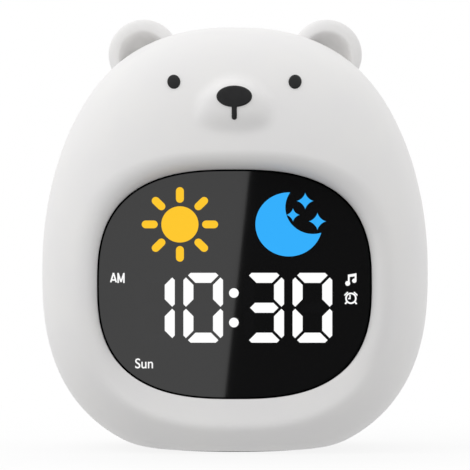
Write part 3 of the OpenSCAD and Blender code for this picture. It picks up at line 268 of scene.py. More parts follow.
def piece(name, points, faces, body, material, crease=32):
    """A mesh given in mm that rides on a body; edges sharper than crease stay crisp."""
    mesh = bpy.data.meshes.new(name)
    mesh.from_pydata((np.asarray(points, float) * MM).tolist(), [], [list(f) for f in faces])
    bm = bmesh.new()
    bm.from_mesh(mesh)
    bmesh.ops.recalc_face_normals(bm, faces=bm.faces)
    bm.to_mesh(mesh)
    bm.free()
    shade(mesh, crease)
    mesh.materials.append(material)
    obj = added(name, mesh)
    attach(obj, body)
    return obj


def shade(mesh, crease):
    """Smooth shading, with crisp edges where the mesh turns by more than crease, in degrees."""
    mesh.polygons.foreach_set("use_smooth", [True] * len(mesh.polygons))
    mesh.set_sharp_from_angle(angle=math.radians(crease))


def loft_faces(count, n, wrap=False):
    """Quads between count rings of n points each; wrap joins the last ring to the first."""
    faces = []
    for r in range(count if wrap else count - 1):
        a, b = r * n, (r + 1) % count * n
        faces += [(a + i, a + (i + 1) % n, b + (i + 1) % n, b + i) for i in range(n)]
    return faces


def capped_faces(count, n):
    """The same, with a face over each end."""
    last = (count - 1) * n
    return loft_faces(count, n) + [range(n), range(last, last + n)]


def lathe(profile, around):
    """Points and faces of a profile of (radius, height) pairs turned about Z, closed at both ends."""
    a = np.arange(around) / around * 2 * np.pi
    rings = [np.stack([r * np.cos(a), r * np.sin(a), np.full(around, h)], -1) for r, h in profile]
    return np.concatenate(rings), capped_faces(len(rings), around)


def arc(cx, cy, r, start, end, n):
    """Points of an arc, in degrees."""
    return [(cx + r * math.cos(t), cy + r * math.sin(t)) for t in np.radians(np.linspace(start, end, n))]


def slabs(shapes, y0, y1):
    """Flat closed outlines in X and Z, each made a thin slab from depth y0 to depth y1."""
    points, faces = [], []
    for shape in shapes:
        n, first = len(shape), len(points)
        points += [(x, y0, z) for x, z in shape] + [(x, y1, z) for x, z in shape]
        faces += [[first + i for i in face] for face in capped_faces(2, n)]
    return points, faces


def sign(name, shapes, material, front_y):
    """A sign on the window. Its own light doesn't colour the shell."""
    points, faces = slabs(shapes, front_y, SIGN_BACK)
    made = piece(name, points, faces, "case", material, crease=20)
    made.visible_diffuse = False


def letters(text, x, z, w, h):
    """Outlines of a word in the plain built-in letters, fitted to a box by its middle."""
    curve = bpy.data.curves.new(text, "FONT")
    curve.body = text
    curve.offset = LETTER_BOLD
    obj = added(text, curve)
    bpy.context.view_layer.update()
    mesh = bpy.data.meshes.new_from_object(obj.evaluated_get(bpy.context.evaluated_depsgraph_get()))
    co = np.array([v.co[:2] for v in mesh.vertices])
    low, high = co.min(0), co.max(0)
    co = (co - (low + high) / 2) / (high - low) * (w, h) + (x, z)
    shapes = [[tuple(co[i]) for i in p.vertices] for p in mesh.polygons]
    bpy.data.objects.remove(obj)
    bpy.data.curves.remove(curve)
    bpy.data.meshes.remove(mesh)
    return shapes


def widened(shape, share, x):
    """An outline made wider by a share about the upright line at x."""
    return [(x + (u - x) * share, v) for u, v in shape]


def turned(shape, degrees, x, z):
    """An outline turned about the origin and moved to a place."""
    c, s = math.cos(math.radians(degrees)), math.sin(math.radians(degrees))
    return [(x + c * u - s * v, z + s * u + c * v) for u, v in shape]


def bar(x0, z0, x1, z1, w, round_ends=False):
    """A straight stroke as an outline."""
    along = np.array([x1 - x0, z1 - z0])
    tilt = math.degrees(math.atan2(along[1], along[0]))
    half, long = w / 2, float(np.linalg.norm(along)) / 2
    if round_ends:
        shape = arc(long, 0, half, -90, 90, 9) + arc(-long, 0, half, 90, 270, 9)
    else:
        shape = [(long, -half), (long, half), (-long, half), (-long, -half)]
    return turned(shape, tilt, (x0 + x1) / 2, (z0 + z1) / 2)


def disc(x, z, r, n=40):
    return arc(x, z, r, 0, 360 * (n - 1) / n, n)


def punch(bm, sheet, centre, radius, surface_y, floor_y):
    """Sinks a round flat-bottomed well along Y into a sheet of faces."""
    cx, cz = centre[0] * MM, centre[1] * MM
    reach = radius * MM

    def off(v):
        return math.hypot(v.co.x - cx, v.co.z - cz)

    near = [f for f in sheet if any(off(v) < reach for v in f.verts)]
    gone = [f for f in near if all(off(v) < reach for v in f.verts)]
    moved = {v for f in near for v in f.verts if off(v) < reach} - {
        v for f in gone for v in f.verts if all(g in gone for g in v.link_faces)
    }
    bmesh.ops.delete(bm, geom=gone, context="FACES")
    for v in moved:
        grow = reach / off(v)
        v.co.x, v.co.z = cx + (v.co.x - cx) * grow, cz + (v.co.z - cz) * grow
        v.co.y = float(surface_y(np.array(v.co.x / MM), np.array(v.co.z / MM))) * MM
    rim = [e for e in bm.edges if len(e.link_faces) == 1 and e.verts[0] in moved and e.verts[1] in moved]
    low = {v: bm.verts.new((v.co.x, floor_y * MM, v.co.z)) for e in rim for v in e.verts}
    for e in rim:
        p, q = e.verts
        bm.faces.new((p, q, low[q], low[p]))
    loop = sorted(low.values(), key=lambda v: math.atan2(v.co.z - cz, v.co.x - cx))
    bm.faces.new(loop)


# ---- Materials ---------------------------------------------------------------


def srgb(r, g, b):
    """Linear colour of an sRGB colour given in 0..255."""
    return tuple(c / 12.92 if c <= 0.04045 else ((c + 0.055) / 1.055) ** 2.4
                 for c in (r / 255, g / 255, b / 255))


class Finish:
    """A Principled material, with what varies over its surface added by the calls below."""

    def __init__(self, name, colour, rough, **sockets):
        self.name = name
        self.material = bpy.data.materials.new(name)
        self.material.use_nodes = True
        self.tree = self.material.node_tree
        self.shader = self.tree.nodes["Principled BSDF"]
        self.colour = colour
        self.shader.inputs["Base Color"].default_value = (*colour, 1)
        self.shader.inputs["Roughness"].default_value = rough
        for key, value in sockets.items():
            self.shader.inputs[key.replace("_", " ")].default_value = value
        self.rough = rough

    def node(self, kind, **sockets):
        made = self.tree.nodes.new(kind)
        for key, value in sockets.items():
            made.inputs[key].default_value = value
        return made

    def noise(self, size_mm, detail, stretch):
        """Noise whose features are about size_mm across, in the object's own coordinates."""
        where = self.node("ShaderNodeTexCoord")
        mapping = self.node("ShaderNodeMapping")
        mapping.inputs["Scale"].default_value = stretch
        noise = self.node("ShaderNodeTexNoise", Scale=1 / (size_mm * MM), Detail=detail)
        self.tree.links.new(where.outputs["Object"], mapping.inputs["Vector"])
        self.tree.links.new(mapping.outputs["Vector"], noise.inputs["Vector"])
        return noise.outputs["Fac"]

    def mottled(self, size_mm, other, low=0.35, high=0.65, stretch=(1, 1, 1)):
        """Colour that drifts between the base colour and another."""
        ramp = self.node("ShaderNodeValToRGB")
        ramp.color_ramp.elements[0].position, ramp.color_ramp.elements[1].position = low, high
        ramp.color_ramp.elements[0].color = (*self.colour, 1)
        ramp.color_ramp.elements[1].color = (*other, 1)
        self.tree.links.new(self.noise(size_mm, 3.0, stretch), ramp.inputs["Fac"])
        self.tree.links.new(ramp.outputs["Color"], self.shader.inputs["Base Color"])
        return self

    def worn(self, size_mm, spread, stretch=(1, 1, 1)):
        """Roughness that varies by spread either way."""
        span = self.node("ShaderNodeMapRange")
        span.inputs["To Min"].default_value = self.rough - spread
        span.inputs["To Max"].default_value = self.rough + spread
        self.tree.links.new(self.noise(size_mm, 4.0, stretch), span.inputs["Value"])
        self.tree.links.new(span.outputs["Result"], self.shader.inputs["Roughness"])
        return self

    def grained(self, size_mm, height_mm, stretch=(1, 1, 1)):
        """Fine relief."""
        bump = self.node("ShaderNodeBump", Strength=0.5, Distance=height_mm * MM)
        self.tree.links.new(self.noise(size_mm, 2.0, stretch), bump.inputs["Height"])
        self.tree.links.new(bump.outputs["Normal"], self.shader.inputs["Normal"])
        return self


SHELL_WHITE = srgb(238, 237, 236)
TRIM_BLACK = srgb(30, 30, 31)
WINDOW_BLACK = (0.008, 0.008, 0.0083)
FINISHES = {finish.name: finish for finish in (
    Finish("shell", SHELL_WHITE, 0.5, Specular_IOR_Level=0.5)
    .mottled(16, srgb(236, 235, 235)).worn(3, 0.04).grained(0.25, 0.012),
    Finish("trim", TRIM_BLACK, 0.5, Specular_IOR_Level=0.2)
    .mottled(2, srgb(34, 34, 35)).worn(1, 0.06).grained(0.2, 0.008),
    Finish("window", WINDOW_BLACK, 0.075, IOR=1.6).worn(12, 0.015),
    Finish("foam", srgb(30, 30, 31), 0.9).grained(0.3, 0.05),
    Finish("film", srgb(210, 210, 206), 0.5).mottled(4, srgb(202, 202, 198)),
    Finish("light_block", srgb(236, 236, 234), 0.5).grained(0.4, 0.02),
    Finish("board", srgb(36, 98, 66), 0.35).mottled(3, srgb(26, 78, 50), 0.45, 0.5).worn(2, 0.08),
    Finish("led", srgb(244, 230, 160), 0.2, IOR=1.5).mottled(1, srgb(250, 240, 190)),
    Finish("screw", srgb(176, 178, 182), 0.35, Metallic=1.0)
    .worn(0.6, 0.1).grained(0.3, 0.01, (1, 1, 6)),
    Finish("panel", srgb(232, 231, 229), 0.55, Specular_IOR_Level=0.35)
    .mottled(10, srgb(228, 227, 225)).worn(3, 0.05).grained(0.35, 0.02),
    Finish("key", srgb(214, 213, 210), 0.5, Specular_IOR_Level=0.4)
    .mottled(5, srgb(209, 208, 205)).worn(2, 0.06).grained(0.3, 0.01),
    Finish("plunger", srgb(34, 34, 36), 0.45).grained(0.3, 0.01),
    Finish("switch", srgb(190, 192, 194), 0.3, Metallic=1.0).worn(1, 0.1, (6, 1, 1)),
    Finish("slider", srgb(205, 74, 58), 0.45, Specular_IOR_Level=0.4)
    .mottled(2, srgb(196, 66, 52)).worn(1, 0.06).grained(0.2, 0.01),
    Finish("chips", srgb(42, 42, 44), 0.6).grained(0.2, 0.02),
    Finish("socket", srgb(196, 198, 200), 0.28, Metallic=1.0)
    .worn(0.8, 0.08, (1, 6, 1)).grained(0.2, 0.005, (1, 8, 1)),
    Finish("speaker_frame", srgb(62, 64, 66), 0.5).worn(1, 0.1),
    Finish("speaker_cone", srgb(44, 44, 46), 0.75).grained(0.3, 0.05),
    Finish("magnet", srgb(186, 187, 190), 0.25, Metallic=1.0).worn(1, 0.08),
    Finish("cell", srgb(48, 104, 178), 0.35).mottled(8, srgb(44, 98, 170)).worn(4, 0.08),
    Finish("bracket", srgb(214, 212, 206), 0.5).grained(0.4, 0.02),
    Finish("diffuser", srgb(246, 244, 238), 0.4).mottled(6, srgb(242, 240, 232)),
    Finish("touch", srgb(216, 160, 110), 0.3, Metallic=1.0).worn(1, 0.1),
    Finish("pad", srgb(58, 58, 60), 0.85, Specular_IOR_Level=0.25)
    .mottled(4, srgb(66, 66, 68)).grained(0.5, 0.06),
    Finish("cable", srgb(230, 228, 218), 0.4).mottled(1, srgb(222, 220, 208), stretch=(8, 1, 1)),
    Finish("lead", srgb(176, 44, 36), 0.5).worn(1, 0.06),
)}
SHELL, TRIM, WINDOW = (FINISHES[s].material for s in ("shell", "trim", "window"))
KEY_PRINT = Finish("key_print", srgb(92, 92, 96), 0.6).mottled(1, srgb(100, 100, 104)).material


def lit(name, colour, strength=1.0):
    """A sign lit from behind; at strength 0, a black that reflects nothing."""
    dark = Finish(name, (0.0, 0.0, 0.0), 0.6, Specular_IOR_Level=0.0)
    dark.shader.inputs["Emission Color"].default_value = (*colour, 1)
    dark.shader.inputs["Emission Strength"].default_value = strength
    return dark.material


def dress_frame():
    """Every CAD node that stays gets its slot's finish."""
    for obj in nodes.values():
        for place in obj.material_slots:
            place.material = FINISHES[place.material.name.split(".")[0]].material
        obj.data.polygons.foreach_set("use_smooth", [True] * len(obj.data.polygons))


# ---- Shells ------------------------------------------------------------------


def closer_over_snout(p):
    """A ring's points lie closer together over the snout, where the form is finer."""
    return 1 + 1.2 * np.exp(-(p[:, 0] / 20) ** 2) * (p[:, 1] > WAIST_Z)


def front_shell():
    """The front half: seam, skin, lip, the window's pocket and the inside, as one closed tube."""
    a = even_angles(outline, AROUND, closer_over_snout)
    skin_steps, roll_steps, inner_steps, inner_roll_steps = 96, 26, 12, 4
    low_share = smooth_step((-np.sin(a) - LIP_LOW[0]) / (LIP_LOW[1] - LIP_LOW[0]))

    def rings(inset, seat, skin_count, roll_count):
        far = outline(a, inset)
        edge, power = LENS_CLEAR + inset, 2 / round_lip(a, LIP_ROUND)
        window = lens_outline(a, edge)
        near = lens_outline(a, edge + round_lip(a, LIP_WIDTH))
        near_gauge = gauge(near[:, 0], near[:, 1], inset)
        made = []

        def skin_y(p):
            return face_y(p[:, 0], p[:, 1]) if inset == 0 else front_skin(p[:, 0], p[:, 1], inset)

        for k in range(1, skin_count + 1):
            here = np.cos(np.arccos(near_gauge ** (FRONT_M / 2)) * k / skin_count) ** (2 / FRONT_M)
            t = ((1 - here) / (1 - near_gauge))[:, None]
            p = far * (1 - t) + near * t
            made.append(ring(p, skin_y(p), inset))
        for k in range(1, roll_count + 1):
            turn = math.pi / 2 * (1 - k / roll_count)
            p = window + (near - window) * (1 - math.cos(turn) ** power)[:, None]
            skin = skin_y(p)
            rolled = seat + (skin - seat) * math.sin(turn) ** power
            sloped = seat - LIP_RISE * np.linalg.norm(p - window, axis=1)
            sloped = np.where(k == roll_count, seat, -smooth_min(-sloped, -skin, LIP_SOFT))
            made.append(ring(p, rolled + (sloped - rolled) * low_share, inset))
        return made

    pocket = [ring(lens_outline(a, grow), y) for grow, y in
              ((LENS_CLEAR, POCKET_Y), (-LEDGE_W, POCKET_Y), (-LEDGE_W, LEDGE_BACK_Y))]
    inner = rings(WALL, LEDGE_BACK_Y, inner_steps, inner_roll_steps)[::-1]
    inner.append(ring(outline(a, WALL), 0.0, WALL))
    every = seam_rings(a, -1) + rings(0.0, LENS_Y, skin_steps, roll_steps) + pocket + inner
    shell = piece("front_shell_skin", np.concatenate(every), loft_faces(len(every), AROUND, wrap=True),
                  "case", SHELL, crease=40)
    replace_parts(shell, "front_shell")


def rear_skin(x, z, inset=0.0):
    depth = REAR_DEPTH - inset
    curved = depth * np.maximum(0, 1 - gauge(x, z, inset) ** REAR_M) ** (1 / REAR_M)
    return smooth_min(curved, np.full_like(curved, BACK_Y - inset), BACK_SOFT)


def rear_shell():
    """The rear half: seam, skin, flat back, the panel's seat and the inside, with four screw wells."""
    a = even_angles(outline, AROUND)
    skin_steps, flat_steps, inner_steps = 84, 8, 44

    def skin_rings(inset, depth_at_end, count):
        depth = REAR_DEPTH - inset
        sweep = math.asin((depth_at_end / depth) ** (REAR_M / 2))
        far = outline(a, inset) - (0, WAIST_Z)
        made = []
        for k in range(1, count + 1):
            p = far * math.cos(sweep * k / count) ** (2 / REAR_M) + (0, WAIST_Z)
            made.append(ring(p, rear_skin(p[:, 0], p[:, 1], inset), inset))
        return made

    outer = skin_rings(0.0, BACK_Y, skin_steps)
    flat = outer[-1][:, [0, 2]]
    toward = flat - (0, PANEL_Z)
    toward = toward / np.linalg.norm(toward, axis=1)[:, None]

    def circle(r):
        return toward * r + (0, PANEL_Z)

    hole_r, round_r = PANEL_R + PANEL_CLEAR, 0.3
    seat = []
    for k in range(1, flat_steps + 1):
        p = flat + (circle(hole_r + round_r) - flat) * k / flat_steps
        seat.append(ring(p, rear_skin(p[:, 0], p[:, 1])))
    seat += [ring(circle(hole_r + round_r * (1 - math.sin(t))), BACK_Y - round_r * (1 - math.cos(t)))
             for t in np.radians([30, 60, 90])]
    seat += [ring(circle(r), y) for r, y in ((hole_r, PANEL_Y), (PANEL_HOLE_R, PANEL_Y),
                                             (PANEL_HOLE_R, PANEL_Y - WALL))]
    inner = skin_rings(WALL, PANEL_Y - WALL, inner_steps)[::-1] + [ring(outline(a, WALL), 0.0, WALL)]
    every = seam_rings(a, 1) + outer + seat + inner
    shell = piece("rear_shell_skin", np.concatenate(every), loft_faces(len(every), AROUND, wrap=True),
                  "case", SHELL, crease=40)

    bm = bmesh.new()
    bm.from_mesh(shell.data)
    behind, around_boss = 20.0, 3.0  # a well is sunk among the faces this far back and this near its boss
    for well in WELLS:
        outside, inside = [], []
        for f in bm.faces:
            x, y, z = (v / MM for v in f.calc_center_median())
            if y > behind and math.hypot(x - well[0], z - well[1]) < BOSS_R + around_boss:
                on_skin = y > float(rear_skin(np.array(x), np.array(z))) - WALL / 2
                (outside if on_skin else inside).append(f)
        punch(bm, outside, well, WELL_R, rear_skin, WELL_FLOOR_Y)
        punch(bm, inside, well, BOSS_R, lambda x, z: rear_skin(x, z, WALL), BOSS_END_Y)
    bmesh.ops.recalc_face_normals(bm, faces=bm.faces)
    bm.to_mesh(shell.data)
    bm.free()
    shade(shell.data, 40)
    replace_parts(shell, "rear_shell")


# ---- Ears, eyes and nose -----------------------------------------------------

EAR_TOP_Z = WAIST_Z + CROWN_H * (1 - (EAR_X / HALF_W) ** CROWN_N) ** (1 / CROWN_N)
EAR_OUT = np.array([(EAR_X / HALF_W) ** (CROWN_N - 1) / HALF_W,
                    ((EAR_TOP_Z - WAIST_Z) / CROWN_H) ** (CROWN_N - 1) / CROWN_H])
EAR_OUT = EAR_OUT / np.linalg.norm(EAR_OUT)
EAR_MID = np.array([EAR_X, EAR_TOP_Z]) - EAR_SINK * EAR_OUT


def ear(name, side, node):
    """A thick round disc with a rolled rim and a dished front, cut where it enters the head."""
    around, soft = 160, 1.5
    a = np.arange(around) / around * 2 * np.pi
    core = EAR_R - EAR_RIM_R  # radius at which the rim's roll begins

    def front(r):
        u, v = r * np.cos(a), r * np.sin(a)
        rim = math.sqrt(max(0, EAR_RIM_R ** 2 - max(0, r - core) ** 2))
        far = np.hypot(u, v + EAR_DISH_DROP) / EAR_DISH_R
        dish = EAR_RIM_R - EAR_DISH_DEPTH + EAR_DISH_DEPTH * far ** EAR_DISH_N
        return smooth_min(rim, dish, soft)

    rings = [(r, np.full(around, -EAR_RIM_R)) for r in (0.6, 3.0, 5.5, core)]
    rings += [(core + EAR_RIM_R * math.cos(t), np.full(around, EAR_RIM_R * math.sin(t)))
              for t in np.radians(np.linspace(-80, -8, 10))]
    rings += [(core + EAR_RIM_R * math.cos(t), front(core + EAR_RIM_R * math.cos(t)))
              for t in np.radians(np.linspace(0, 84, 16))]
    rings += [(r, front(r)) for r in np.linspace(core, 0.3, 34)]
    points = [np.stack([side * EAR_MID[0] + r * np.cos(a), EAR_Y - h, EAR_MID[1] + r * np.sin(a)], -1)
              for r, h in rings]
    made = piece(name, np.concatenate(points), capped_faces(len(rings), around), "case", SHELL)
    bm = bmesh.new()
    bm.from_mesh(made.data)
    cut_x, cut_z = EAR_MID + EAR_CUT * EAR_OUT
    cut = Vector((side * cut_x, EAR_Y, cut_z)) * MM
    kept = bmesh.ops.bisect_plane(bm, geom=bm.verts[:] + bm.edges[:] + bm.faces[:], plane_co=cut,
                                  plane_no=(side * EAR_OUT[0], 0, EAR_OUT[1]), clear_inner=True)
    rim = [e for e in kept["geom_cut"] if isinstance(e, bmesh.types.BMEdge)]
    bmesh.ops.edgeloop_fill(bm, edges=rim)
    bmesh.ops.recalc_face_normals(bm, faces=bm.faces)
    bm.to_mesh(made.data)
    bm.free()
    shade(made.data, 50)
    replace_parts(made, node)


def eye(name, side, node):
    """A small oval dome, square to the face where it sits."""
    proud, wall, seat = 0.85, 0.12, 0.5  # the dome's height, its upright edge, and its depth in the face
    profile = [(1.0, -seat), (1.0, wall)]
    profile += [(math.cos(t), wall + (proud - wall) * math.sin(t))
                for t in np.radians(np.linspace(8, 86, 14))]
    points, faces = lathe(profile, 72)
    out = front_normal(np.array(EYE_X), np.array(EYE_Z)) * (side, 1, 1)
    across, up = np.array([1, -out[0] / out[1], 0]), np.array([0, -out[2] / out[1], 1])
    mid = np.array([side * EYE_X, float(face_y(np.array(EYE_X), np.array(EYE_Z))), EYE_Z])
    placed_at = (mid + points[:, :1] * across * EYE_HALF[0] + points[:, 1:2] * up * EYE_HALF[1]
                 + points[:, 2:] * out)
    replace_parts(piece(name, placed_at, faces, "case", TRIM, crease=50), node)


def nose_outline():
    """Half an oval joined to a short round-ended stem, then its mirror image."""
    tip_z = NOSE_Z - STEM_LEN
    half = STEM_W / 2
    turn = np.linspace(math.pi / 2, math.radians(-80.7), 90)  # from the top down, nearly to the stem
    oval = superellipse(turn, 2 * NOSE_HALF_W, 2 * NOSE_HALF_H, NOSE_N, NOSE_Z)
    oval = [tuple(p) for p in oval if not (p[0] < half + 0.05 and p[1] < NOSE_Z)]
    neck_z = oval[-1][1] - 0.1
    stem = [(half, z) for z in np.linspace(neck_z, tip_z + half, 14)]
    tip = arc(0, tip_z + half, half, 0, -90, 9)[1:]
    right = oval[1:] + stem + tip[:-1]
    return [oval[0]] + right + [tip[-1]] + [(-x, z) for x, z in reversed(right)]


def nose():
    """The nose and the line under it: a low pad with rounded edges that follows the snout."""
    edge = np.array(nose_outline())
    proud, seat, round_w = 0.55, 0.5, 0.5  # height, depth in the face, and width of the rounded edge
    spacing = 0.42                         # of the inner points
    following = np.roll(edge, -1, 0)

    def depth_in(p):
        along = following - edge
        t = np.clip(((p[:, None] - edge) * along).sum(-1) / (along ** 2).sum(-1), 0, 1)
        return np.linalg.norm(p[:, None] - edge - t[..., None] * along, axis=-1).min(1)

    tangent = following - np.roll(edge, 1, 0)
    inward = np.stack([tangent[:, 1], -tangent[:, 0]], -1) / np.linalg.norm(tangent, axis=1)[:, None]
    rims = [edge] + [edge + inward * d for d in (0.05, 0.14, 0.28)]
    grid = np.meshgrid(np.arange(-6, 6.01, spacing), np.arange(-8, 4.01, spacing))
    grid = np.stack(grid, -1).reshape(-1, 2) + (0, NOSE_Z)
    grid = grid[np.array([point_in(p, edge) for p in grid])]
    grid = grid[depth_in(grid) > spacing]
    spots = np.concatenate(rims + [grid])
    loop = list(range(len(edge)))
    co, _, faces, *_ = delaunay_2d_cdt([Vector(p) for p in spots], [], [loop], 1, 1e-5)
    co = np.array([tuple(c) for c in co])
    d = np.minimum(depth_in(co) / round_w, 1)
    rise = proud * np.sqrt(np.maximum(0, 1 - (1 - d) ** 2))
    base = face_y(co[:, 0], co[:, 1])
    top = np.stack([co[:, 0], base - rise, co[:, 1]], -1)
    low = np.stack([co[:, 0], base + seat, co[:, 1]], -1)
    count = len(co)
    every = [list(f) for f in faces] + [[i + count for i in reversed(f)] for f in faces]
    sides = dict.fromkeys((i, j) for f in faces for i, j in zip(f, list(f[1:]) + [f[0]]))
    every += [[j, i, i + count, j + count] for i, j in sides if (j, i) not in sides]  # the wall
    made = piece("nose_pad", np.concatenate([top, low]), every, "case", TRIM, crease=60)
    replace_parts(made, "nose")


def point_in(p, polygon):
    """Whether a point lies inside a closed outline."""
    a, b = polygon, np.roll(polygon, -1, 0)
    crosses = (a[:, 1] > p[1]) != (b[:, 1] > p[1])
    at = a[:, 0] + (p[1] - a[:, 1]) * (b[:, 0] - a[:, 0]) / np.where(crosses, b[:, 1] - a[:, 1], 1)
    return int((crosses & (p[0] < at)).sum()) % 2 == 1


# ---- Window and its lit signs ------------------------------------------------


def display_lens():
    """The dark window, with a finely rounded edge."""
    a = even_angles(lens_outline, 320)
    back_y, r = LENS_Y + LENS_T, LENS_CHAMFER
    rings = [ring(lens_outline(a, -0.2), back_y), ring(lens_outline(a), back_y - 0.2)]
    rings += [ring(lens_outline(a, -r * (1 - math.cos(t))), LENS_Y + r * (1 - math.sin(t)))
              for t in np.radians(np.linspace(0, 90, 7))]
    rings.append(ring(lens_outline(a, -r - 0.1), LENS_Y))
    pane = piece("window_pane", np.concatenate(rings), capped_faces(len(rings), len(a)),
                 "case", WINDOW, crease=60)
    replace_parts(pane, "display_lens")
    # A painted dark band, standing in for the dark reflection in the rounded edge, runs from the front over
    # the edge and down the side
    line = [ring(lens_outline(a, grow), LENS_Y + y) for grow, y in
            ((-LENS_PAINTED_EDGE, 0.1), (-LENS_PAINTED_EDGE, -0.02), (-0.1, -0.02), (0.03, 0.15), (0.03, 0.6), (-0.1, 0.6))]
    piece("window_painted_edge", np.concatenate(line), loft_faces(len(line), len(a), wrap=True),
          "case", lit("window_edge_painted_dark", (0, 0, 0), 0.0), crease=60)


SHOWN = "1030"
DIGIT_X = [-23.4, -9.2, 8.75, 22.93]
DIGIT_Z = LENS_Z - 6.9
DIGIT_W, DIGIT_H = 11.65, 20.55
SEGMENT_W, SEGMENT_GAP, SEGMENT_CUT = 2.94, 0.6, 0.75    # a slanted gap each side, and the cut corners
COLON_X, COLON_STEP, COLON_R = -0.18, 4.35, 1.42
SIGN_Z = LENS_Z + 17.64
SUN_X, SUN_R, RAY_FROM, RAY_TO, RAY_W = -16.05, 5.33, 6.36, 10.97, 2.28
MOON_X, MOON_R, MOON_BITE, MOON_BITE_R = 16.0, 9.42, (6.8, 5.0), 7.8
SUN_WIDE, MOON_WIDE = 1.025, 1.045     # both signs are drawn a little wider than round
STAR_X = 15.6
STARS = [(5.2, 6.9, 2.5), (1.6, 2.8, 2.0), (8.8, 0.9, 2.6)]   # places from STAR_X and SIGN_Z, and reach
STAR_N = 0.68          # below 1, the sides of a star are hollow
AM_AT = (-34.45, LENS_Z + 1.87, 4.25, 2.95)     # middle, width and height
DAY_AT = (-26.6, LENS_Z - 23.3, 5.25, 2.95)
NOTE_AT = (34.25, LENS_Z + 1.35, 3.85)          # middle and height
ALARM_AT = (34.25, LENS_Z - 4.1, 1.68)          # middle and radius
SEGMENTS_OF = {"0": "abcdef", "1": "bc", "2": "abdeg", "3": "abcdg", "4": "bcfg", "5": "acdfg",
               "6": "acdefg", "7": "abc", "8": "abcdefg", "9": "abcdfg"}
LETTER_BOLD = 0.008    # how far the built-in letters are thickened, as a share of their size
SIGN_FRONT, SIGN_BACK = LENS_Y - 0.05, LENS_Y - 0.01
GHOST_FRONT = LENS_Y - 0.02


def segment(name):
    """One segment of a digit, a to g as usual, about the digit's middle; all slants are at 45 degrees."""
    w, h, s, g, c = DIGIT_W / 2, DIGIT_H / 2, SEGMENT_W, SEGMENT_GAP, SEGMENT_CUT
    if name == "g":
        tip = w - c - 1.5 * g
        flat = tip - s / 2
        return [(-tip, 0), (-flat, s / 2), (flat, s / 2), (tip, 0), (flat, -s / 2), (-flat, -s / 2)]
    if name in "ad":
        up = 1 if name == "a" else -1
        tip = w - c - g
        return [(x, up * z) for x, z in ((-tip, h - c), (c - tip, h), (tip - c, h), (tip, h - c),
                                         (tip - s + c, h - s), (s - c - tip, h - s))]
    side = 1 if name in "bc" else -1
    up = 1 if name in "bf" else -1
    top, low = h - c - g, g / 2
    return [(side * x, up * z) for x, z in ((w - c, top), (w, top - c), (w, low + c), (w - c, low),
                                            (w - s, low + s - c), (w - s, top - s + c))]


def crescent(x, z):
    """The moon: an outer arc and the bite's arc between the two points where they cross."""
    d = math.hypot(*MOON_BITE)
    along = (MOON_R ** 2 - MOON_BITE_R ** 2 + d ** 2) / (2 * d)
    aim = math.degrees(math.atan2(MOON_BITE[1], MOON_BITE[0]))
    open_out = math.degrees(math.acos(along / MOON_R))
    open_in = math.degrees(math.acos((d - along) / MOON_BITE_R))
    outer = arc(x, z, MOON_R, aim + open_out, aim + 360 - open_out, 90)
    inner = arc(x + MOON_BITE[0], z + MOON_BITE[1], MOON_BITE_R,
                aim + 180 + open_in, aim + 180 - open_in, 60)
    return outer + inner[1:-1]


def star(x, z, reach):
    """A star with four points and hollow sides."""
    return superellipse(np.arange(48) / 48 * 2 * np.pi, 2 * reach, 2 * reach, STAR_N, z, x).tolist()


def morning(x, z, w, h):
    """The letters AM in plain strokes, fitted to a box by its middle."""
    letter_a = [(-0.46, -0.43, -0.27, 0.5), (-0.27, 0.5, -0.08, -0.43), (-0.38, -0.2, -0.16, -0.2)]
    letter_m = [(0.05, -0.5, 0.05, 0.5), (0.45, -0.5, 0.45, 0.5),
                (0.06, 0.42, 0.25, -0.4), (0.25, -0.4, 0.44, 0.42)]
    return [bar(x + a * w, z + b * h, x + c * w, z + d * h, 0.105 * w) for a, b, c, d in letter_a + letter_m]


def note(x, z, h):
    """A small pair of quavers: two heads, their stems and the beam that joins them."""
    shapes = []
    for head_x, head_z, head_r, stem_x, top_z in ((-0.245, -0.275, 0.19, -0.16, 0.4),
                                                  (0.258, -0.07, 0.17, 0.355, 0.46)):
        shapes.append(disc(x + head_x * h, z + head_z * h, head_r * h, 24))
        shapes.append(bar(x + stem_x * h, z + head_z * h, x + stem_x * h, z + top_z * h, 0.14 * h))
    beam = ((-0.23, 0.2), (0.425, 0.28), (0.425, 0.5), (-0.23, 0.39))
    shapes.append([(x + u * h, z + v * h) for u, v in beam])
    return shapes


def ringing_clock(x, z, r):
    """A small round alarm clock of radius r: a ring, two hands, two bells and two feet."""
    w, n = 0.29 * r, 48
    out, inside = disc(x, z, r, n), disc(x, z, r - w, n)
    shapes = [[out[i], out[(i + 1) % n], inside[(i + 1) % n], inside[i]] for i in range(n)]
    shapes.append(bar(x - 0.16 * r, z - 0.15 * r, x - 0.16 * r, z + 0.6 * r, 0.22 * r))
    shapes.append(bar(x - 0.5 * r, z - 0.05 * r, x - 0.05 * r, z - 0.05 * r, 0.22 * r))
    for side in (-1, 1):
        shapes.append(bar(x + side * 1.15 * r, z + 0.5 * r, x + side * 0.52 * r, z + 1.11 * r, 0.22 * r))
        shapes.append(bar(x + side * 0.72 * r, z - 0.65 * r, x + side * 1.0 * r, z - 1.0 * r, 0.28 * r))
    return shapes


def digit_segments(shown):
    """Outlines of the time's segments that are lit, or of those that aren't."""
    return [[(x + u, DIGIT_Z + v) for u, v in segment(s)] for x, digit in zip(DIGIT_X, SHOWN)
            for s in "abcdefg" if (s in SEGMENTS_OF[digit]) == shown]


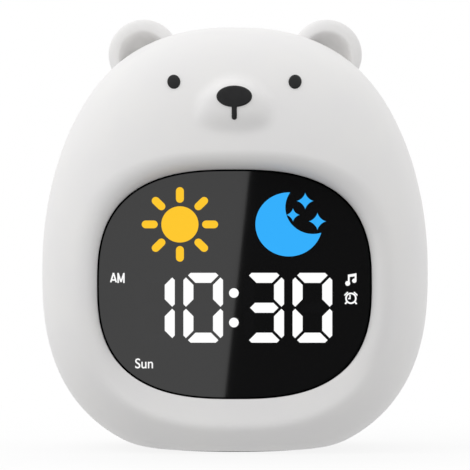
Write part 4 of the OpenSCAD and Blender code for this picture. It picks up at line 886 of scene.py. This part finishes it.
def display_signs():
    colon = [disc(COLON_X, DIGIT_Z + s * COLON_STEP, COLON_R) for s in (-1, 1)]
    white = lit("sign_white", (1.0, 1.0, 1.0))
    sign("lit_time", digit_segments(True) + colon, white, SIGN_FRONT)
    small = morning(*AM_AT) + letters("Sun", *DAY_AT) + note(*NOTE_AT) + ringing_clock(*ALARM_AT)
    sign("lit_indicators", small, white, SIGN_FRONT)
    ghost = Finish("sign_unlit", (0.009, 0.009, 0.0095), 0.07, IOR=1.6).material
    sign("unlit_segments", digit_segments(False), ghost, GHOST_FRONT)
    ray = bar(RAY_FROM + RAY_W / 2, 0, RAY_TO - RAY_W / 2, 0, RAY_W, True)
    rays = [turned(ray, 45 * k, SUN_X, SIGN_Z) for k in range(8)]
    day = [widened(shape, SUN_WIDE, SUN_X) for shape in [disc(SUN_X, SIGN_Z, SUN_R, 72)] + rays]
    sign("lit_sun", day, lit("sign_yellow", srgb(255, 201, 49)), SIGN_FRONT)
    night = [widened(crescent(MOON_X, SIGN_Z), MOON_WIDE, MOON_X)]
    night += [star(STAR_X + x, SIGN_Z + z, r) for x, z, r in STARS]
    sign("lit_moon", night, lit("sign_blue", srgb(54, 176, 253)), SIGN_FRONT)


# ---- Keys --------------------------------------------------------------------

KEY_X, KEY_ROW_HIGH, KEY_ROW_LOW = 15.0, 19.0, 5.0
KEY_TOP_Y, KEY_DISH_R, KEY_DISH = 41.2, 14.0, 0.35  # the keys' rim, and the radius and depth of their dish
PRINT_PROUD, PRINT_SUNK = 0.04, 0.1


def key_prints():
    """Plain pictures printed on the keys, as someone standing behind the clock reads them."""
    def bars():
        return [bar(-1.5, v, 1.5, v, 0.55, True) for v in (-1.1, 0, 1.1)]

    def triangle(up):
        return [[(-1.5, -1.0 * up), (1.5, -1.0 * up), (0, 1.4 * up)]]

    def bell():
        dome = arc(0, 0.1, 1.15, 0, 180, 20)
        return [dome + [(-1.15, -0.8), (-1.7, -1.15), (1.7, -1.15), (1.15, -0.8)], disc(0, -1.6, 0.35, 20)]

    def lamp():
        thread = [bar(-0.55, -1.15, 0.55, -1.15, 0.35), bar(-0.4, -1.7, 0.4, -1.7, 0.35)]
        return [arc(0, 0.4, 1.3, -55, 235, 30)] + thread

    prints = {
        "mode": (-1, KEY_ROW_HIGH, bars()), "up": (0, KEY_ROW_HIGH, triangle(1)),
        "down": (0, KEY_ROW_LOW, triangle(-1)), "alarm": (1, KEY_ROW_HIGH, bell()),
        "sound": (-1, KEY_ROW_LOW, note(0, 0, 3.4)), "light": (1, KEY_ROW_LOW, lamp()),
    }
    for name, (column, row, shapes) in prints.items():
        x, z = column * KEY_X, PANEL_Z + row
        points, faces = slabs([[(x - u, z + v) for u, v in shape] for shape in shapes], 0, 1)
        for i, (px, layer, pz) in enumerate(points):  # layer 1 is the side that shows
            sunk = KEY_DISH_R - math.sqrt(KEY_DISH_R ** 2 - (px - x) ** 2 - (pz - z) ** 2)
            face = KEY_TOP_Y - KEY_DISH + sunk
            points[i] = (px, face + (PRINT_PROUD if layer else -PRINT_SUNK), pz)
        piece("print_" + name, points, faces, name + "_key", KEY_PRINT, crease=20)


# ---- Stage, light and camera -------------------------------------------------

CAMERA_DISTANCE = 2500.0
CAMERA_UP, CAMERA_RIGHT = 2.0, 0.3        # in degrees from straight in front
CAMERA_AIM_X, CAMERA_AIM_Z = -0.03, 64.0
SENSOR, FRAME_WIDTH = 36.0, 140.2         # the frame takes in this width at the clock
FLAG_DISTANCE = 45.0                      # from the window to the card that it reflects
FLAG_TOP_X, FLAG_LOW_X = 5.15, -4.1       # where the reflection's edge crosses the window's plane
FLAG_ABOVE, FLAG_BELOW, FLAG_FAR_X = 40.0, 45.0, 160.0   # and how far the reflection reaches
WORLD_LEVEL = 1.42                        # light on the clock from the world, on average
WORLD_SLOPE = (-0.132, 0.475, -0.47)      # its change along X, along Y (in front only) and along Z
LAMP_POWER, LAMP_SIZE = 3.0, 1.0          # in watts and metres
LAMP_AT, LAMP_AIM = (-0.9, -0.9, 1.5), (0, 0, 0.06)
FLOOR_HALF = 6.0                          # in metres
FLOOR_SEEN, FLOOR_GLOW = 0.93, 0.535      # how pale it looks, and its even light on the clock from below
SHADOW_FAINT = 0.8                        # share of the clock's shadow that is washed out
SHADOW_FROM, SHADOW_TO = 0.06, 0.22       # metres from the middle over which the rest of it goes too
TABLE_Z = 0.56         # the soft rest pad gives under the clock's weight, so none of it is seen


def window_flag():
    """A dark card in front of the clock, seen only in the window: it gives the glass its two tones."""
    tilt, turn = math.radians(CAMERA_UP), math.radians(CAMERA_RIGHT)
    eye_x, eye_z = CAMERA_DISTANCE * math.sin(turn), CAMERA_AIM_Z + CAMERA_DISTANCE * math.sin(tilt)

    def mirrored(x, z):
        share = FLAG_DISTANCE / CAMERA_DISTANCE
        return x + (x - eye_x) * share, LENS_Y - FLAG_DISTANCE, z + (z - eye_z) * share

    high, low = LENS_Z + FLAG_ABOVE, LENS_Z - FLAG_BELOW
    corners = ((FLAG_LOW_X, low), (FLAG_FAR_X, low), (FLAG_FAR_X, high), (FLAG_TOP_X, high))
    points = [mirrored(x, z) for x, z in corners]
    mesh = bpy.data.meshes.new("window_flag")
    mesh.from_pydata((np.array(points) * MM).tolist(), [], [(0, 1, 2, 3)])
    mesh.materials.append(lit("flag_black", (0, 0, 0), 0.0))
    flag = added("window_flag", mesh)
    for ray in ("camera", "diffuse", "shadow", "transmission", "volume_scatter"):
        setattr(flag, "visible_" + ray, False)


def greater(tree, first, second):
    """The output of a node that gives the greater of two values."""
    made = tree.nodes.new("ShaderNodeMath")
    made.operation = "MAXIMUM"
    tree.links.new(first, made.inputs[0])
    tree.links.new(second, made.inputs[1])
    return made.outputs["Value"]


def floor():
    """A pale floor that fades to pure white away from the clock and keeps its shadow, which is faint."""
    mesh = bpy.data.meshes.new("floor")
    corners = ((-1, -1), (1, -1), (1, 1), (-1, 1))
    mesh.from_pydata([(FLOOR_HALF * x, FLOOR_HALF * y, TABLE_Z * MM) for x, y in corners], [], [(0, 1, 2, 3)])
    material = bpy.data.materials.new("floor")
    material.use_nodes = True
    tree = material.node_tree
    tree.nodes.clear()
    link, new = tree.links.new, tree.nodes.new
    path, where = new("ShaderNodeLightPath"), new("ShaderNodeNewGeometry")
    length, fade = new("ShaderNodeVectorMath"), new("ShaderNodeMapRange")
    length.operation = "LENGTH"
    fade.interpolation_type = "SMOOTHSTEP"
    fade.inputs["From Min"].default_value = SHADOW_FROM
    fade.inputs["From Max"].default_value = SHADOW_TO
    fade.inputs["To Min"].default_value = SHADOW_FAINT
    unseen = new("ShaderNodeMath")
    unseen.operation = "SUBTRACT"
    unseen.inputs[0].default_value = 1.0
    glow, white, pale = new("ShaderNodeMix"), new("ShaderNodeEmission"), new("ShaderNodeBsdfDiffuse")
    mixed, out = new("ShaderNodeMixShader"), new("ShaderNodeOutputMaterial")
    glow.inputs["A"].default_value, glow.inputs["B"].default_value = FLOOR_GLOW, 1.0
    pale.inputs["Color"].default_value = (FLOOR_SEEN,) * 3 + (1,)
    seen = greater(tree, path.outputs["Is Camera Ray"], path.outputs["Is Glossy Ray"])
    link(seen, unseen.inputs[1])
    link(seen, glow.inputs["Factor"])
    link(glow.outputs["Result"], white.inputs["Strength"])
    link(where.outputs["Position"], length.inputs[0])
    link(length.outputs["Value"], fade.inputs["Value"])
    link(greater(tree, fade.outputs["Result"], unseen.outputs["Value"]), mixed.inputs["Fac"])
    link(pale.outputs["BSDF"], mixed.inputs[1])
    link(white.outputs["Emission"], mixed.inputs[2])
    link(mixed.outputs["Shader"], out.inputs["Surface"])
    mesh.materials.append(material)
    added("floor", mesh)


def world():
    """White where the camera or a reflection looks; for light on the object, a soft slope of brightness."""
    made = bpy.data.worlds.new("studio")
    bpy.context.scene.world = made
    made.use_nodes = True
    tree = made.node_tree
    link, new = tree.links.new, tree.nodes.new
    background = tree.nodes["Background"]
    background.inputs["Color"].default_value = (1, 1, 1, 1)
    path, where, level = new("ShaderNodeLightPath"), new("ShaderNodeTexCoord"), new("ShaderNodeMath")
    even_behind, slope = new("ShaderNodeVectorMath"), new("ShaderNodeVectorMath")
    even_behind.operation, slope.operation, level.operation = "MINIMUM", "DOT_PRODUCT", "ADD"
    even_behind.inputs[1].default_value = (1, 0, 1)
    slope.inputs[1].default_value = WORLD_SLOPE
    level.inputs[1].default_value = WORLD_LEVEL
    strength = new("ShaderNodeMix")
    strength.inputs["B"].default_value = 1.0
    link(where.outputs["Generated"], even_behind.inputs[0])
    link(even_behind.outputs["Vector"], slope.inputs[0])
    link(slope.outputs["Value"], level.inputs[0])
    seen = greater(tree, path.outputs["Is Camera Ray"], path.outputs["Is Glossy Ray"])
    link(greater(tree, seen, path.outputs["Is Transmission Ray"]), strength.inputs["Factor"])
    link(level.outputs["Value"], strength.inputs["A"])
    link(strength.outputs["Result"], background.inputs["Strength"])


def soft_lamp():
    lamp = bpy.data.lights.new("soft_lamp", "AREA")
    lamp.shape, lamp.size, lamp.size_y = "RECTANGLE", LAMP_SIZE, LAMP_SIZE
    lamp.energy = LAMP_POWER
    obj = added("soft_lamp", lamp)
    obj.location = LAMP_AT
    point_at(obj, Vector(LAMP_AIM))
    obj.visible_glossy = False


def point_at(obj, aim):
    obj.rotation_euler = (aim - obj.location).to_track_quat("-Z", "Y").to_euler()


def camera():
    data = bpy.data.cameras.new("camera")
    data.sensor_width = SENSOR
    data.lens = SENSOR * CAMERA_DISTANCE / FRAME_WIDTH
    data.clip_start, data.clip_end = 0.1, 50
    obj = added("camera", data)
    tilt, turn = math.radians(CAMERA_UP), math.radians(CAMERA_RIGHT)
    aim = Vector((CAMERA_AIM_X, 0, CAMERA_AIM_Z)) * MM
    obj.location = aim + Vector((math.sin(turn), -math.cos(tilt), math.sin(tilt))) * CAMERA_DISTANCE * MM
    point_at(obj, aim)
    bpy.context.scene.camera = obj


# ---- The whole ---------------------------------------------------------------

dress_frame()
front_shell()
rear_shell()
for ear_name, ear_side in (("left_ear", -1), ("right_ear", 1)):
    ear(ear_name + "_disc", ear_side, ear_name)
for eye_name, eye_side in (("left_eye", -1), ("right_eye", 1)):
    eye(eye_name + "_dome", eye_side, eye_name)
nose()
display_lens()
display_signs()
key_prints()
window_flag()
floor()
world()
soft_lamp()
camera()
bpy.context.scene.view_settings.view_transform = "Standard"
